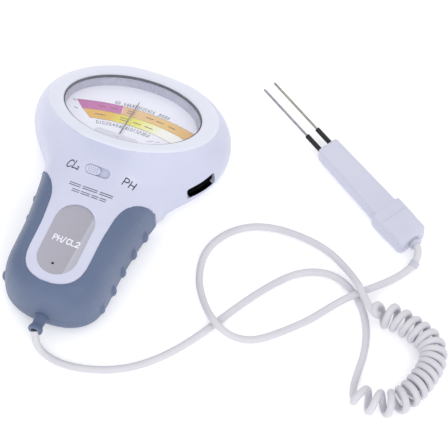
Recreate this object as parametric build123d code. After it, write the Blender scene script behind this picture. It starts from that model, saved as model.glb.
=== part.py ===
from build123d import *
import math
import os

# Hand-held needle-type pool and spa water tester: a round, tilted meter head on
# a short handle, and a two-pin probe on a partly coiled cord.
# Frame: +X across the handle, +Y from handle end to head, +Z up out of the
# front face. Origin on the flat back (Z = 0), under the middle of the label.

# ---------------------------------------------------------------- dimensions
FACE_Z = 34.0          # flat front face above the flat back
WALL = 2.8             # case wall
GRIP_T = 1.4           # soft grip thickness
SPLIT_Z, SPLIT_Y, SPLIT_SLOPE = 11.0, -36.0, -0.0443   # parting plane
TILT = 32.2            # dial window tilt, degrees
WIN_Y, WIN_Z = 83.2, 32.1
R_BEZEL, R_BEZEL_LOW, R_WINDOW, R_LENS = 41.6, 39.9, 35.2, 34.7
BEZEL_DEEP, BEZEL_LIP = 4.2, 2.0
LENS_TOP, LENS_T = -0.4, 1.6
R_SURR_IN, R_SURR_OUT = 33.9, 36.4
DIAL_TOP, DIAL_T, R_DIAL = -6.2, 0.8, 36.0
PIVOT_X, PIVOT_Y = 2.2, -28.5      # needle pivot in the window's own frame
NEEDLE_LEN, NEEDLE_REST = 46.5, 5.2
LABEL_R, LABEL_HALF, LABEL_T = 10.2, 9.9, 0.6
CAL_X, CAL_Y = -0.7, -14.5
SLOT_L, SLOT_W = 13.0, 4.8
KNOB_L, KNOB_W, KNOB_TRAVEL = 7.6, 4.3, 5.0
KNOB_X = -2.5          # knob centre with the switch at its left stop
SW_Y, SW_Z, SW_TILT = 39.2, 38.2, 28.0
BOARD_Z, BOARD_T = 22.0, 1.6
GLAND_Z, GLAND_X = 11.0, 0.4
CORD_D = 3.4
COIL_OD = 14.0
PROBE_DIR = 150.2      # direction of the probe on the table, degrees from +X
PROBE_REAR = (152.6, 79.05)
PROBE_BLOCK_L, PROBE_BLOCK_W, PROBE_BLOCK_H = 22.5, 17.2, 12.0
PROBE_BODY_L, PROBE_BODY_W0, PROBE_BODY_W1, PROBE_BODY_H = 46.5, 12.2, 14.0, 10.0
PIN_GAP, PIN_R, SLEEVE_R = 6.5, 0.65, 1.25
SLEEVE_L, PIN_L = 11.5, 36.0
PROBE_Z = 6.0

OUT = "parts"
os.makedirs(OUT, exist_ok=True)


def save(name, shape):
    if isinstance(shape, (list, tuple)):
        shape = Compound(children=list(shape))
    shape.label = name
    export_step(shape, f"{OUT}/{name}.step")


# ------------------------------------------------------------- case envelope
# Half outline of the handle at its widest level: (half width, Y).
HANDLE = [(0.0, -32.2), (5.0, -32.0), (10.0, -31.2), (14.0, -30.0), (18.0, -27.9), (21.3, -25.2),
          (23.8, -21.6), (25.3, -17.3), (26.0, -12.0), (26.1, -5.0), (26.2, 5.0), (27.0, 15.0),
          (28.1, 25.0), (29.3, 33.0), (30.8, 40.0), (32.8, 46.5), (35.4, 53.0), (38.4, 60.0)]
TOP_ROUND, BACK_ROUND = 12.5, 6.0     # edge rounding of the handle, front and back
# Stations of the round head: (centre Y, centre Z, half width, half length, tilt).
BOWL = [(80.5, 0.0, 41.0, 36.5, 0.0), (80.8, 9.0, 50.8, 40.9, 4.8),
        (82.4, 21.0, 48.7, 41.7, 19.0), (83.2, 32.1, 42.0, 42.0, TILT)]
NECK = [(20.0, 33.8), (28.0, 34.1), (34.0, 35.5), (39.2, 38.2), (43.0, 42.2), (46.0, 47.4), (47.9, 53.2)]


def outline(inset):
    pts = []
    n = len(HANDLE)
    for i, (x, y) in enumerate(HANDLE):
        if i == 0:
            nx, ny = 0.0, -1.0
        elif i == n - 1:
            nx, ny = 1.0, 0.0
        else:
            dx, dy = HANDLE[i + 1][0] - HANDLE[i - 1][0], HANDLE[i + 1][1] - HANDLE[i - 1][1]
            m = math.hypot(dx, dy)
            nx, ny = dy / m, -dx / m
        pts.append((x - inset * nx, y - inset * ny))
    loop = [(-x, y) for x, y in reversed(pts[1:])] + pts
    with BuildSketch() as sk:
        with BuildLine():
            Spline(*loop)
            Line(loop[-1], loop[0])
        make_face()
    return sk.sketch.faces()[0]


def handle_body(t=0.0):
    z0, z1 = t, FACE_Z - t
    p = Pos(0, 0, z0) * extrude(outline(t), amount=z1 - z0)
    for level, radius in ((z1, TOP_ROUND - 0.8 * t), (z0, BACK_ROUND - 0.8 * t)):
        p = p.fillet(radius, [e for e in p.edges() if abs(e.center().Z - level) < 1e-3 and e.geom_type != GeomType.LINE])
    return p


def bowl_body(t=0.0):
    wires = []
    for k, (cy, cz, rx, ry, tilt) in enumerate(BOWL):
        z = cz + (t if k == 0 else 0.0)
        a = math.radians(tilt)
        pl = Plane(origin=(0, cy, z), x_dir=(1, 0, 0), z_dir=(0, math.sin(a), math.cos(a)))
        e = Ellipse(rx - t, ry - t) if abs(rx - ry) > 1e-6 else Circle(rx - t)
        wires.append((pl * e).faces()[0].outer_wire())
    # the inner form runs on past the window so that it opens the head
    return Solid.make_loft(wires)


def neck_body(t=0.0, half=17.0):
    top = [Vector(0, y + t * 0.55, z - t * 0.85) for y, z in NECK]
    e = Edge.make_spline(top)
    a, b = top[0], top[-1]
    p1, p2, p3 = Vector(0, 66, 41.6 - t), Vector(0, 66, 14 + t), Vector(0, 20 + t, 14 + t)
    w = Wire([e, Edge.make_line(b, p1), Edge.make_line(p1, p2), Edge.make_line(p2, p3), Edge.make_line(p3, a)])
    f = Face(w)
    return extrude(f, amount=half - t, dir=(1, 0, 0), both=True)


def body(t=0.0):
    return handle_body(t) + bowl_body(t) + neck_body(t)


split_plane = Plane(origin=(0, SPLIT_Y, SPLIT_Z), x_dir=(1, 0, 0), z_dir=Vector(0, -SPLIT_SLOPE, 1).normalized())


def split_z(y):
    return SPLIT_Z + SPLIT_SLOPE * (y - SPLIT_Y)


outer = body(0.0)
inner = body(WALL)
under_grip = handle_body(GRIP_T)
win = Plane(origin=(0, WIN_Y, WIN_Z), x_dir=(1, 0, 0),
            z_dir=(0, math.sin(math.radians(TILT)), math.cos(math.radians(TILT))))
sw = Plane(origin=(0, SW_Y, SW_Z), x_dir=(1, 0, 0),
           z_dir=(0, -math.sin(math.radians(SW_TILT)), math.cos(math.radians(SW_TILT))))


def disc(plane, r, z0, z1, x=0.0, y=0.0):
    return plane * Pos(x, y, z0) * extrude(Circle(r), amount=z1 - z0)


def ring(plane, r0, r1, z0, z1, x=0.0, y=0.0):
    return plane * Pos(x, y, z0) * extrude(Circle(r1) - Circle(r0), amount=z1 - z0)


def block(plane, lx, ly, z0, z1, x=0.0, y=0.0):
    return plane * Pos(x, y, z0) * extrude(Rectangle(lx, ly), amount=z1 - z0)


def stadium(plane, length, width, z0, z1, x=0.0, y=0.0, rot=0.0):
    return plane * Pos(x, y, z0) * Rot(0, 0, rot) * extrude(SlotOverall(length, width), amount=z1 - z0)


# ---------------------------------------------------------------- soft grips
# A U on each cover: both sides and the end, with a plain panel in its middle.
GRIP_IN = [(15.6, -12.6), (15.9, -7.6), (15.9, 0.0), (16.0, 5.0), (16.3, 9.5), (16.8, 14.5), (17.4, 19.6), (18.7, 24.2),
           (20.6, 27.8), (22.6, 30.2), (25.0, 32.8), (27.4, 35.2), (29.2, 37.4), (30.8, 39.4), (36.0, 44.0), (40.0, 47.5)]
right = [(14.5, -17.0), (12.0, -20.8), (8.4, -23.2), (4.0, -24.5), (0.0, -24.7)]
edge_pts = [Vector(x, y, 0) for x, y in list(reversed(right)) + GRIP_IN]
half_loop = Wire([
    Edge.make_spline(edge_pts),
    Edge.make_line(edge_pts[-1], Vector(40, -48, 0)),
    Edge.make_line(Vector(40, -48, 0), Vector(0, -48, 0)),
    Edge.make_line(Vector(0, -48, 0), edge_pts[0])])
half_region = Face(half_loop)
region = extrude(half_region, amount=60, dir=(0, 0, 1))
region = Pos(0, 0, -5) * region
region = region + region.mirror(Plane.YZ)
grip_solid = (handle_body(0.0) - under_grip) & region
# keep the grip off the flat rest area under the handle
grip_front = split(grip_solid, bisect_by=split_plane, keep=Keep.TOP)
grip_rear = split(grip_solid, bisect_by=split_plane, keep=Keep.BOTTOM)

# --------------------------------------------------------------- case covers
shell = outer - inner
SCREWS = [(-40.0, 86.0), (40.0, 86.0), (-28.5, 47.0), (28.5, 47.0), (-18.5, -15.0), (18.5, -15.0)]
BOSS_R, PILOT_R, SHANK_R, HEAD_R = 3.4, 1.35, 1.35, 2.6
core = body(0.8)
bosses = None
for x, y in SCREWS:
    c = Pos(x, y, 0) * extrude(Circle(BOSS_R), amount=60)
    bosses = c if bosses is None else bosses + c
cover = shell + (bosses & core)

pocket_t = Vector(0.52, 0.854, 0).normalized()
pocket_n = Vector(0.854, -0.52, 0).normalized()
pk = Plane(origin=(44.4, 63.6, 15.2), x_dir=pocket_t, z_dir=pocket_n)
PK_L, PK_H, PK_D, PK_W = 17.0, 8.4, 9.0, 1.0
pocket_cut = pk * Pos(0, 0, -PK_D - PK_W) * extrude(RectangleRounded(PK_L + 2 * PK_W, PK_H + 2 * PK_W, 2.2), amount=30)
pocket_hole = pk * Pos(0, 0, -PK_D) * extrude(RectangleRounded(PK_L, PK_H, 1.6), amount=30)

flange = ring(win, R_SURR_OUT + 0.2, 41.9, -8.2, -BEZEL_DEEP) + ring(win, 34.5, 41.9, -8.2, DIAL_TOP - DIAL_T)
flange = flange & core
flange = flange - block(win, 32, 20, -9, -4.3, x=2, y=-32)
cover = cover + flange
cover = cover - disc(win, R_SURR_OUT + 0.2, DIAL_TOP - DIAL_T, 6.0)
cover = cover - disc(win, R_BEZEL_LOW + 0.05, -BEZEL_DEEP, 8.0)
cover = cover - disc(win, R_BEZEL + 0.05, -BEZEL_LIP, 8.0)
cover = cover - (grip_front + grip_rear)
# gland hole through the handle end
gl = Plane(origin=(GLAND_X, -30.0, GLAND_Z), x_dir=(1, 0, 0), z_dir=(0, -1, 0))
cover = cover - disc(gl, 3.6, -2.0, 12.0)
grip_front = grip_front - disc(gl, 4.8, -2.0, 12.0)
grip_rear = grip_rear - disc(gl, 4.8, -2.0, 12.0)

front_cover = split(cover, bisect_by=split_plane, keep=Keep.TOP)
rear_cover = split(cover, bisect_by=split_plane, keep=Keep.BOTTOM)

# front: label recess, calibration hole, switch slot, pocket, screw pilots
flat = Plane(origin=(0, 0, FACE_Z), x_dir=(1, 0, 0), z_dir=(0, 0, 1))
front_cover = front_cover - (Rot(0, 0, 90) * stadium(flat, 2 * (LABEL_R + LABEL_HALF) + 0.1, 2 * LABEL_R + 0.1, -0.5, 3.0))
front_cover = front_cover - disc(Plane.XY, 0.9, 26, 40, x=CAL_X, y=CAL_Y)
front_cover = front_cover - stadium(sw, SLOT_L, SLOT_W, -9.0, 6.0)
front_cover = front_cover - block(sw, 26.0, 9.0, -9.0, -1.4)
front_cover = front_cover - pocket_cut
for x, y in SCREWS:
    front_cover = front_cover - disc(Plane.XY, PILOT_R, 0, 17.0, x=x, y=y)
    rear_cover = rear_cover - disc(Plane.XY, HEAD_R + 0.15, -1, 3.0, x=x, y=y) - disc(Plane.XY, SHANK_R + 0.2, -1, 30, x=x, y=y)
    if y < 0:
        grip_rear = grip_rear - disc(Plane.XY, HEAD_R + 0.15, -1, 4.0, x=x, y=y)


def biggest(s):
    # one connected moulding: small cut-off crumbs are dropped
    sol = sorted(s.solids(), key=lambda q: -q.volume)
    return sol[0]


print("front solids", [round(s.volume) for s in front_cover.solids()], "rear", [round(s.volume) for s in rear_cover.solids()])
print("grips", [round(s.volume) for s in grip_front.solids()], [round(s.volume) for s in grip_rear.solids()])
save("front_cover", biggest(front_cover))
save("rear_cover", biggest(rear_cover))
save("grip_front", biggest(grip_front))
save("grip_rear", biggest(grip_rear))

screws = []
for x, y in SCREWS:
    s = disc(Plane.XY, HEAD_R, 1.0, 3.0, x=x, y=y) + disc(Plane.XY, SHANK_R, 3.0, 15.5, x=x, y=y)
    s = s - block(Plane.XY, 3.0, 0.7, 0.5, 1.9, x=x, y=y) - block(Plane.XY, 0.7, 3.0, 0.5, 1.9, x=x, y=y)
    screws.append(s.solids()[0])
save("case_screws", screws)

# ------------------------------------------------------------ window and dial
bezel = ring(win, R_WINDOW, R_BEZEL, -BEZEL_LIP, 0.0) + ring(win, R_SURR_OUT + 0.2, R_BEZEL_LOW, -BEZEL_DEEP, -BEZEL_LIP)
top_edges = bezel.edges().filter_by(GeomType.CIRCLE)
outer_top = [e for e in top_edges if abs(e.radius - R_BEZEL) < 1e-6 and abs((win.to_local_coords(e.center())).Z) < 1e-4]
bezel = bezel.fillet(1.2, outer_top)
save("bezel_ring", bezel)
save("window_lens", disc(win, R_LENS, LENS_TOP - LENS_T, LENS_TOP))
save("window_seal", ring(win, R_LENS, R_WINDOW, LENS_TOP - LENS_T, LENS_TOP - 0.3))
surround = ring(win, R_SURR_IN, R_SURR_OUT, DIAL_TOP, -BEZEL_LIP)
save("dial_surround", surround)
dial = disc(win, R_DIAL, DIAL_TOP - DIAL_T, DIAL_TOP) - disc(win, 2.2, -10, 0, x=PIVOT_X, y=PIVOT_Y)
save("dial_plate", dial)

# ------------------------------------------------------------------ movement
mv = Plane(win.location * Pos(PIVOT_X, PIVOT_Y, 0))
frame_top = block(mv, 19.8, 10.0, -8.2, -7.1, y=0.0) - disc(mv, 6.0, -9, -6)
frame_low = disc(mv, 7.5, -15.6, -14.4) + block(mv, 19.8, 3.4, -15.6, -14.4)
posts = disc(mv, 1.0, -14.4, -8.2, x=8.7) + disc(mv, 1.0, -14.4, -8.2, x=-8.7)
meter_frame = frame_top + frame_low + posts - disc(mv, 1.2, -16, -14)
save("meter_frame", meter_frame)
save("meter_yoke", ring(mv, 6.2, 7.5, -14.4, -8.9))
save("meter_magnet", disc(mv, 4.0, -13.2, -9.4))
clamp = [block(mv, 1.6, 2.3, -12.0, -10.6, y=5.05).solids()[0], block(mv, 1.6, 2.3, -12.0, -10.6, y=-5.05).solids()[0]]
clamp = [c - disc(mv, 4.0, -14, -9) for c in clamp]
clamp = [(c & disc(mv, 6.2, -14, -9)).solids()[0] for c in clamp]
save("core_clamp", clamp)
rest = Plane(mv.location * Rot(0, 0, NEEDLE_REST))
coil_frame = block(rest, 11.0, 3.0, -14.0, -8.7) - block(rest, 9.0, 4.0, -13.5, -9.2)
save("moving_coil", coil_frame)
staff = [(disc(mv, 0.4, -8.7, -2.7)).solids()[0], (disc(mv, 0.4, -15.2, -14.0)).solids()[0]]
save("pivot_staff", staff)
jewel_up = disc(mv, 1.2, -3.2, -2.2) - disc(mv, 0.46, -3.3, -2.6)
jewel_dn = disc(mv, 1.2, -15.6, -14.6) - disc(mv, 0.46, -15.3, -14.5)
save("jewel_bearings", [jewel_up.solids()[0], jewel_dn.solids()[0]])
bridge = stadium(mv, 23.0, 6.0, -3.2, -2.4, y=-0.4) - disc(mv, 1.2, -4, -2)
bridge = bridge + disc(mv, 1.3, DIAL_TOP, -3.2, x=9.6, y=-0.4) + disc(mv, 1.3, DIAL_TOP, -3.2, x=-9.6, y=-0.4)
save("meter_bridge", bridge)
needle_face = Polyline((-0.34, 1.0), (0.34, 1.0), (0.17, NEEDLE_LEN - 2.5), (0.0, NEEDLE_LEN), (-0.17, NEEDLE_LEN - 2.5), (-0.34, 1.0))
needle = rest * Pos(0, 0, -5.0) * extrude(make_face(needle_face), amount=0.3)
tail = block(rest, 1.0, 3.0, -5.0, -4.7, y=-1.8) + disc(rest, 1.1, -5.2, -4.4, y=-3.3)
pointer = needle + tail + disc(rest, 1.7, -5.5, -4.3) - disc(rest, 0.4, -6, -4)
save("pointer", pointer)


def spiral(plane, r0, pitch, turns, width, z0, z1):
    f = None
    for k in range(int(turns * 2)):
        r = r0 + k * pitch / 2
        cx = 0.0 if k % 2 == 0 else pitch / 2 * -1
        # half rings whose centres step from side to side
        half = (Circle(r + width / 2) - Circle(r - width / 2))
        cut = Pos(0, (r + 2) if k % 2 == 0 else -(r + 2), 0) * Rectangle(4 * r + 8, 2 * (r + 2))
        h = Pos(cx, 0, 0) * (half & cut)
        f = h if f is None else f + h
    return plane * Pos(0, 0, z0) * extrude(f, amount=z1 - z0)


spring = spiral(rest, 0.8, 0.5, 3.5, 0.14, -4.1, -3.7)
print("hairspring solids", len(spring.solids()))
save("hairspring", spring if len(spring.solids()) == 1 else spring.solids())
mscrews = []
for sx in (-1, 1):
    s = disc(mv, 0.9, -17.0, -15.6, x=sx * 8.7)
    mscrews.append(s.solids()[0])
save("meter_screws", mscrews)

# ------------------------------------------------- switch, board, adjustment
knob = stadium(sw, KNOB_L, KNOB_W, -1.5, 0.5, x=KNOB_X)
for k in (-2, -1, 0, 1, 2):
    knob = knob - block(sw, 0.35, 3.0, 0.2, 1.0, x=KNOB_X + k * 1.1)
shutter = block(sw, 19.6, 8.2, -2.5, -1.5, x=KNOB_X)
st = Plane(origin=(KNOB_X, 40.6, 0), x_dir=(1, 0, 0), z_dir=(0, 0, 1))
stem = block(st, 2.0, 2.0, 27.2, 36.0)
stem = stem - (block(sw, 60, 60, -2.0, 20.0))
selector = knob + shutter + stem
print("selector solids", len(selector.solids()))
save("selector_knob", selector.solids()[0])
sb = Plane(origin=(0, 40.6, 0), x_dir=(1, 0, 0), z_dir=(0, 0, 1))
sbody = block(sb, 16.0, 7.0, BOARD_Z + BOARD_T, 31.0) - block(sb, 9.6, 2.6, 26.0, 32.0)
save("slide_switch", sbody)
save("switch_contact", block(st, 2.6, 2.2, 26.4, 27.2))
board = Pos(0, 12.0, BOARD_Z) * extrude(RectangleRounded(34.0, 66.0, 2.0), amount=BOARD_T)
board = board - disc(Plane.XY, 1.3, 20, 25, x=-12.0, y=2.0) - disc(Plane.XY, 1.3, 20, 25, x=12.0, y=2.0)
for sx in (-1, 1):
    board = board - disc(Plane.XY, 4.2, 20, 25, x=18.5 * sx, y=-15.0)
save("circuit_board", board)
bscrews = []
for sx in (-1, 1):
    s = disc(Plane.XY, 2.2, BOARD_Z - 1.4, BOARD_Z, x=12.0 * sx, y=2.0) + disc(Plane.XY, 1.25, BOARD_Z, 30.0, x=12.0 * sx, y=2.0)
    s = s - block(Plane.XY, 2.6, 0.6, BOARD_Z - 2, BOARD_Z - 0.9, x=12.0 * sx, y=2.0)
    bscrews.append(s.solids()[0])
save("board_screws", bscrews)
posts = []
for sx in (-1, 1):
    p = disc(Plane.XY, 2.8, BOARD_Z + BOARD_T, 31.2, x=12.0 * sx, y=2.0) - disc(Plane.XY, 1.25, 20, 30.0, x=12.0 * sx, y=2.0)
    posts.append((p & inner).solids()[0])
save("board_posts", posts)
tp = Plane(origin=(CAL_X, CAL_Y, 0), x_dir=(1, 0, 0), z_dir=(0, 0, 1))
trim = block(tp, 6.6, 6.6, BOARD_Z + BOARD_T, 27.6) - disc(tp, 2.4, 26.0, 29)
save("trimmer_body", trim)
rotor = disc(tp, 2.3, 26.1, 28.4) - block(tp, 3.4, 0.7, 27.6, 29)
save("trimmer_rotor", rotor)
res = []
for i, (x, y) in enumerate([(-8.0, 14.0), (-8.0, 20.0), (8.0, 18.0)]):
    ax = Plane(origin=(x, y, BOARD_Z + BOARD_T + 1.3), x_dir=(0, 1, 0), z_dir=(1, 0, 0))
    r = disc(ax, 1.15, -3.1, 3.1) + disc(ax, 0.3, -4.6, 4.6)
    for s in (-1, 1):
        r = r + disc(Plane.XY, 0.3, BOARD_Z + BOARD_T, BOARD_Z + BOARD_T + 1.5, x=x + s * 4.4, y=y)
    res.append(r.solids()[0])
save("resistors", res)


def run(points, d, radii=None, label=""):
    """A wire or cord: straight runs joined by tangent arcs, round section."""
    P = [Vector(*p) for p in points]
    rad = []
    for i in range(1, len(P) - 1):
        a, b = P[i] - P[i - 1], P[i + 1] - P[i]
        turn = math.radians(a.get_angle(b))
        rad.append(0.45 * min(a.length, b.length) / math.tan(turn / 2))
    if radii:
        rad = radii
    path = FilletPolyline(*points, radius=rad)
    w = path.wires()[0] if path.wires() else Wire(path.edges())
    t0 = w % 0
    prof = Plane(origin=w @ 0, z_dir=t0) * Circle(d / 2)
    s = sweep(prof, path=w)
    if label:
        print(label, "radii", [round(r, 1) for r in rad], "length", round(w.length, 1),
              "volume", round(s.volume, 1), "section x length", round(math.pi * d * d / 4 * w.length, 1))
    return s.solids()[0]


# leads from the cord to the board and from the board to the movement
leads = [run([(GLAND_X + s * 0.9, -27.5, GLAND_Z), (s * 2.0, -22.0, GLAND_Z + 1.5), (s * 5.5, -19.6, 17.0), (s * 6.0, -19.0, BOARD_Z)], 1.2)
         for s in (-1, 1)]
save("probe_leads", leads)
mleads = [run([(s * 10.0, 34.0, BOARD_Z + BOARD_T), (s * 10.0, 34.4, 27.0), (s * 10.6, 42.0, 30.5), (s * 10.4 + 2.2 * (s > 0), 47.2, 32.4)], 0.9)
          for s in (-1, 1)]
save("meter_leads", mleads)

# --------------------------------------------------------------- label plate
label = Rot(0, 0, 90) * stadium(flat, 2 * (LABEL_R + LABEL_HALF), 2 * LABEL_R, -0.5, -0.5 + LABEL_T)
label = label - disc(Plane.XY, 0.75, 30, 40, x=CAL_X, y=CAL_Y)
save("label_plate", label)

# -------------------------------------------------------------- probe pocket
liner = (pocket_cut - pocket_hole) & body(0.3)
liner = biggest(liner)
rib = block(pk, 1.0, PK_H, -PK_D, -PK_D + 1.2, x=1.5)
liner = liner + rib
print("pocket solids", len(liner.solids()))
save("probe_pocket", liner.solids()[0])

# ------------------------------------------------------------------- gland
gland = disc(gl, 3.6, -1.0, 6.2) + disc(gl, 5.0, -2.6, -1.0) + disc(gl, 4.8, 6.2, 9.4)
gland = gland + (gl * Pos(0, 0, 9.4) * extrude(Circle(4.8), amount=1.8, taper=18))
gland = gland - disc(gl, CORD_D / 2, -4, 13)
save("cable_gland", gland)

# --------------------------------------------------------------------- cord
LEAD_A = [(0.4, -41.2, 11.0), (1.9, -44.2, 8.2), (4.4, -45.9, 3.4), (11.0, -47.9, 1.75), (20.0, -48.6, 1.75),
          (32.7, -46.0, 1.75), (46.1, -40.1, 1.75), (57.1, -31.2, 1.75), (66.7, -19.8, 1.75), (75.2, -5.9, 1.75),
          (85.1, 13.9, 1.75), (95.3, 30.9, 1.75), (105.0, 42.7, 1.75), (117.6, 48.5, 1.75), (130.1, 46.5, 1.75),
          (141.1, 38.2, 1.75), (148.7, 25.9, 1.75), (152.4, 13.0, 1.75), (153.0, 2.0, 1.75), (153.9, -6.0, 2.2),
          (155.6, -11.4, 4.2)]
LEAD_B = [(152.2, 32.4, 6.5), (148.4, 33.2, 8.6), (143.2, 37.2, 10.0), (136.9, 44.0, 10.0), (127.8, 52.2, 5.0),
          (115.1, 60.3, 1.75), (100.7, 62.7, 1.75), (85.7, 62.5, 1.75), (72.4, 58.1, 1.75), (62.3, 48.3, 1.75),
          (57.7, 35.4, 1.75), (61.3, 19.6, 1.75), (69.1, 8.5, 3.2), (75.3, 1.6, 6.0), (82.2, -2.8, 6.0),
          (90.4, -3.5, 2.6), (100.1, -0.7, 1.75), (110.5, 8.9, 1.75), (120.4, 20.0, 1.75), (127.8, 30.6, 3.2),
          (133.8, 36.7, 6.0), (139.3, 42.9, 6.0), (145.7, 51.6, 2.4), (152.5, 60.0, 1.75), (156.9, 67.6, 2.2),
          (157.6, 73.6, 4.4), (155.9, 77.2, 6.0), (152.9, 78.9, 6.0)]
COIL = [(156.4, -12.7), (164.4, -12.9), (171.6, -11.6), (177.0, -8.4), (180.6, -3.4), (182.8, 2.6),
        (184.3, 8.0), (185.6, 15.6), (185.1, 21.8), (182.4, 26.8), (178.2, 29.9), (171.8, 31.8), (163.7, 34.0),
        (157.2, 35.0), (151.8, 33.6)]
lead_a = run([(0.4, -34.5, 11.0), (0.42, -40.2, 10.9)] + LEAD_A[1:], CORD_D, label="cord lead A")
lead_b = run(LEAD_B, CORD_D, label="cord lead B")
coil = run([(x, y, COIL_OD / 2) for x, y in COIL], COIL_OD, label="cord coil")
save("cord_lead_gland", lead_a)
save("cord_lead_probe", lead_b)
save("cord_coil", coil)

# -------------------------------------------------------------------- probe
a = math.radians(PROBE_DIR)
pd = Vector(math.cos(a), math.sin(a), 0)
pr = Plane(origin=(PROBE_REAR[0], PROBE_REAR[1], 0), x_dir=(pd.X, pd.Y, 0), z_dir=(0, 0, 1))
# block at the cord end, in two halves with the pin carrier inside
B0, B1 = 0.0, PROBE_BLOCK_L
blk = pr * Pos(B1 / 2, 0, 0) * extrude(RectangleRounded(PROBE_BLOCK_L, PROBE_BLOCK_W, 2.4), amount=PROBE_BLOCK_H)
blk = blk.fillet(1.0, blk.edges().group_by(Axis.Z)[-1])
blk = blk.fillet(1.2, blk.edges().group_by(Axis.Z)[0])
neck_face = make_face(Polyline((B1 - 0.5, -PROBE_BODY_W1 / 2), (B1 + PROBE_BODY_L, -PROBE_BODY_W0 / 2),
                               (B1 + PROBE_BODY_L, PROBE_BODY_W0 / 2), (B1 - 0.5, PROBE_BODY_W1 / 2), (B1 - 0.5, -PROBE_BODY_W1 / 2)))
nb = pr * Pos(0, 0, 0.8) * extrude(neck_face, amount=PROBE_BODY_H)
nb = nb.fillet(1.1, nb.edges().group_by(Axis.Z)[-1])
nb = nb.fillet(1.8, nb.edges().group_by(Axis.Z)[0])
probe_outer = nb + blk
cav_block = pr * Pos(B1 / 2, 0, 1.6) * extrude(Rectangle(PROBE_BLOCK_L - 3.2, PROBE_BLOCK_W - 3.2), amount=PROBE_BLOCK_H - 3.2)
cav_face = make_face(Polyline((B1 - 3.0, -PROBE_BODY_W1 / 2 + 1.6), (B1 + PROBE_BODY_L - 6.0, -PROBE_BODY_W0 / 2 + 1.6),
                              (B1 + PROBE_BODY_L - 6.0, PROBE_BODY_W0 / 2 - 1.6), (B1 - 3.0, PROBE_BODY_W1 / 2 - 1.6), (B1 - 3.0, -PROBE_BODY_W1 / 2 + 1.6)))
cav = pr * Pos(0, 0, 2.4) * extrude(cav_face, amount=PROBE_BODY_H - 3.2)
probe_shell = probe_outer - cav_block - cav
rear_hole = Plane(origin=(PROBE_REAR[0], PROBE_REAR[1], PROBE_Z), x_dir=(-pd.Y, pd.X, 0), z_dir=(pd.X, pd.Y, 0))
probe_shell = probe_shell - disc(rear_hole, 2.6, -2, 3)
for s in (-1, 1):
    probe_shell = probe_shell - disc(rear_hole, SLEEVE_R, B1 + PROBE_BODY_L - 8.0, B1 + PROBE_BODY_L + 4, x=s * PIN_GAP / 2)
mid = Plane(origin=(0, 0, PROBE_Z), x_dir=(1, 0, 0), z_dir=(0, 0, 1))
save("probe_shell_top", biggest(split(probe_shell, bisect_by=mid, keep=Keep.TOP)))
save("probe_shell_bottom", biggest(split(probe_shell, bisect_by=mid, keep=Keep.BOTTOM)))
F = B1 + PROBE_BODY_L
sleeves, pins = [], []
for s in (-1, 1):
    sl = disc(rear_hole, SLEEVE_R, F - 6.0, F + SLEEVE_L, x=s * PIN_GAP / 2) - disc(rear_hole, PIN_R, F - 7, F + SLEEVE_L + 1, x=s * PIN_GAP / 2)
    sleeves.append(sl.solids()[0])
    p = disc(rear_hole, PIN_R, F - 14.0, F + SLEEVE_L + PIN_L - 1.4, x=s * PIN_GAP / 2)
    p = p + (rear_hole * Pos(s * PIN_GAP / 2, 0, F + SLEEVE_L + PIN_L - 1.4) * extrude(Circle(PIN_R), amount=1.4, taper=26))
    pins.append(p.solids()[0])
save("pin_sleeves", sleeves)
save("electrode_copper", pins[0])
save("electrode_zinc", pins[1])
carrier = pr * Pos(F - 10.2, 0, 2.5) * extrude(Rectangle(3.2, PROBE_BODY_W0 - 3.9), amount=6.3)
for s in (-1, 1):
    carrier = carrier - disc(rear_hole, PIN_R, F - 20, F, x=s * PIN_GAP / 2)
save("pin_carrier", carrier)
pw = []
for s in (-1, 1):
    def loc(u, v, w):
        q = pr.from_local_coords(Vector(u, v, w))
        return (q.X, q.Y, q.Z)
    pw.append(run([loc(6.2, s * 0.8, PROBE_Z), loc(14.0, s * 1.2, PROBE_Z), loc(26.0, s * 3.0, PROBE_Z + 0.3), loc(F - 20.0, s * 3.2, PROBE_Z), loc(F - 14.0, s * 3.25, PROBE_Z)], 1.1))
save("probe_wires", pw)
relief = disc(rear_hole, 2.6, -1.2, 1.6) + disc(rear_hole, 4.0, 1.6, 3.0) + disc(rear_hole, 3.3, -2.4, -1.2)
relief = relief - disc(rear_hole, CORD_D / 2, -4, 4)
save("probe_strain_relief", relief)
# the sleeved end of the cord inside the block
save("cord_tail", disc(rear_hole, CORD_D / 2, 0.05, 6.0))
collar_c, collar_d = Vector(157.05, 68.9, 2.55), Vector(0.18, 0.97, 0.3).normalized()
cp = Plane(origin=collar_c, z_dir=collar_d)
save("cord_collar", ring(cp, CORD_D / 2 + 0.02, 2.5, -1.3, 1.3))
print("done", len(os.listdir(OUT)))
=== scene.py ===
import math

import bmesh
import bpy
import numpy as np
from mathutils import Matrix, Vector


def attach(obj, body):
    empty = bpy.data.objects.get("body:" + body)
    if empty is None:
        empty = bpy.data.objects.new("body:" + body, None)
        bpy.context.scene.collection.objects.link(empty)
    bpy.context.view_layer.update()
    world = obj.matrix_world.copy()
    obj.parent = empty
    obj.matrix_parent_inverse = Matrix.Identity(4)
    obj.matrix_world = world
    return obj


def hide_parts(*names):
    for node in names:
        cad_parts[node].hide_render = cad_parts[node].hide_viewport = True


# Lengths in this script are millimetres in the object's frame; mesh data is written in metres.
MM = 0.001
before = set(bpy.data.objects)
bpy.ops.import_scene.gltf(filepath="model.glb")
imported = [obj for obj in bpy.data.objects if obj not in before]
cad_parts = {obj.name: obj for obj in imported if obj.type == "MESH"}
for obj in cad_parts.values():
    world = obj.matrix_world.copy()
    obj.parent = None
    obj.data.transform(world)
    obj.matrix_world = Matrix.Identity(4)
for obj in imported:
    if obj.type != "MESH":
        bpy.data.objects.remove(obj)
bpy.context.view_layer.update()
scene = bpy.context.scene

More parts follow.
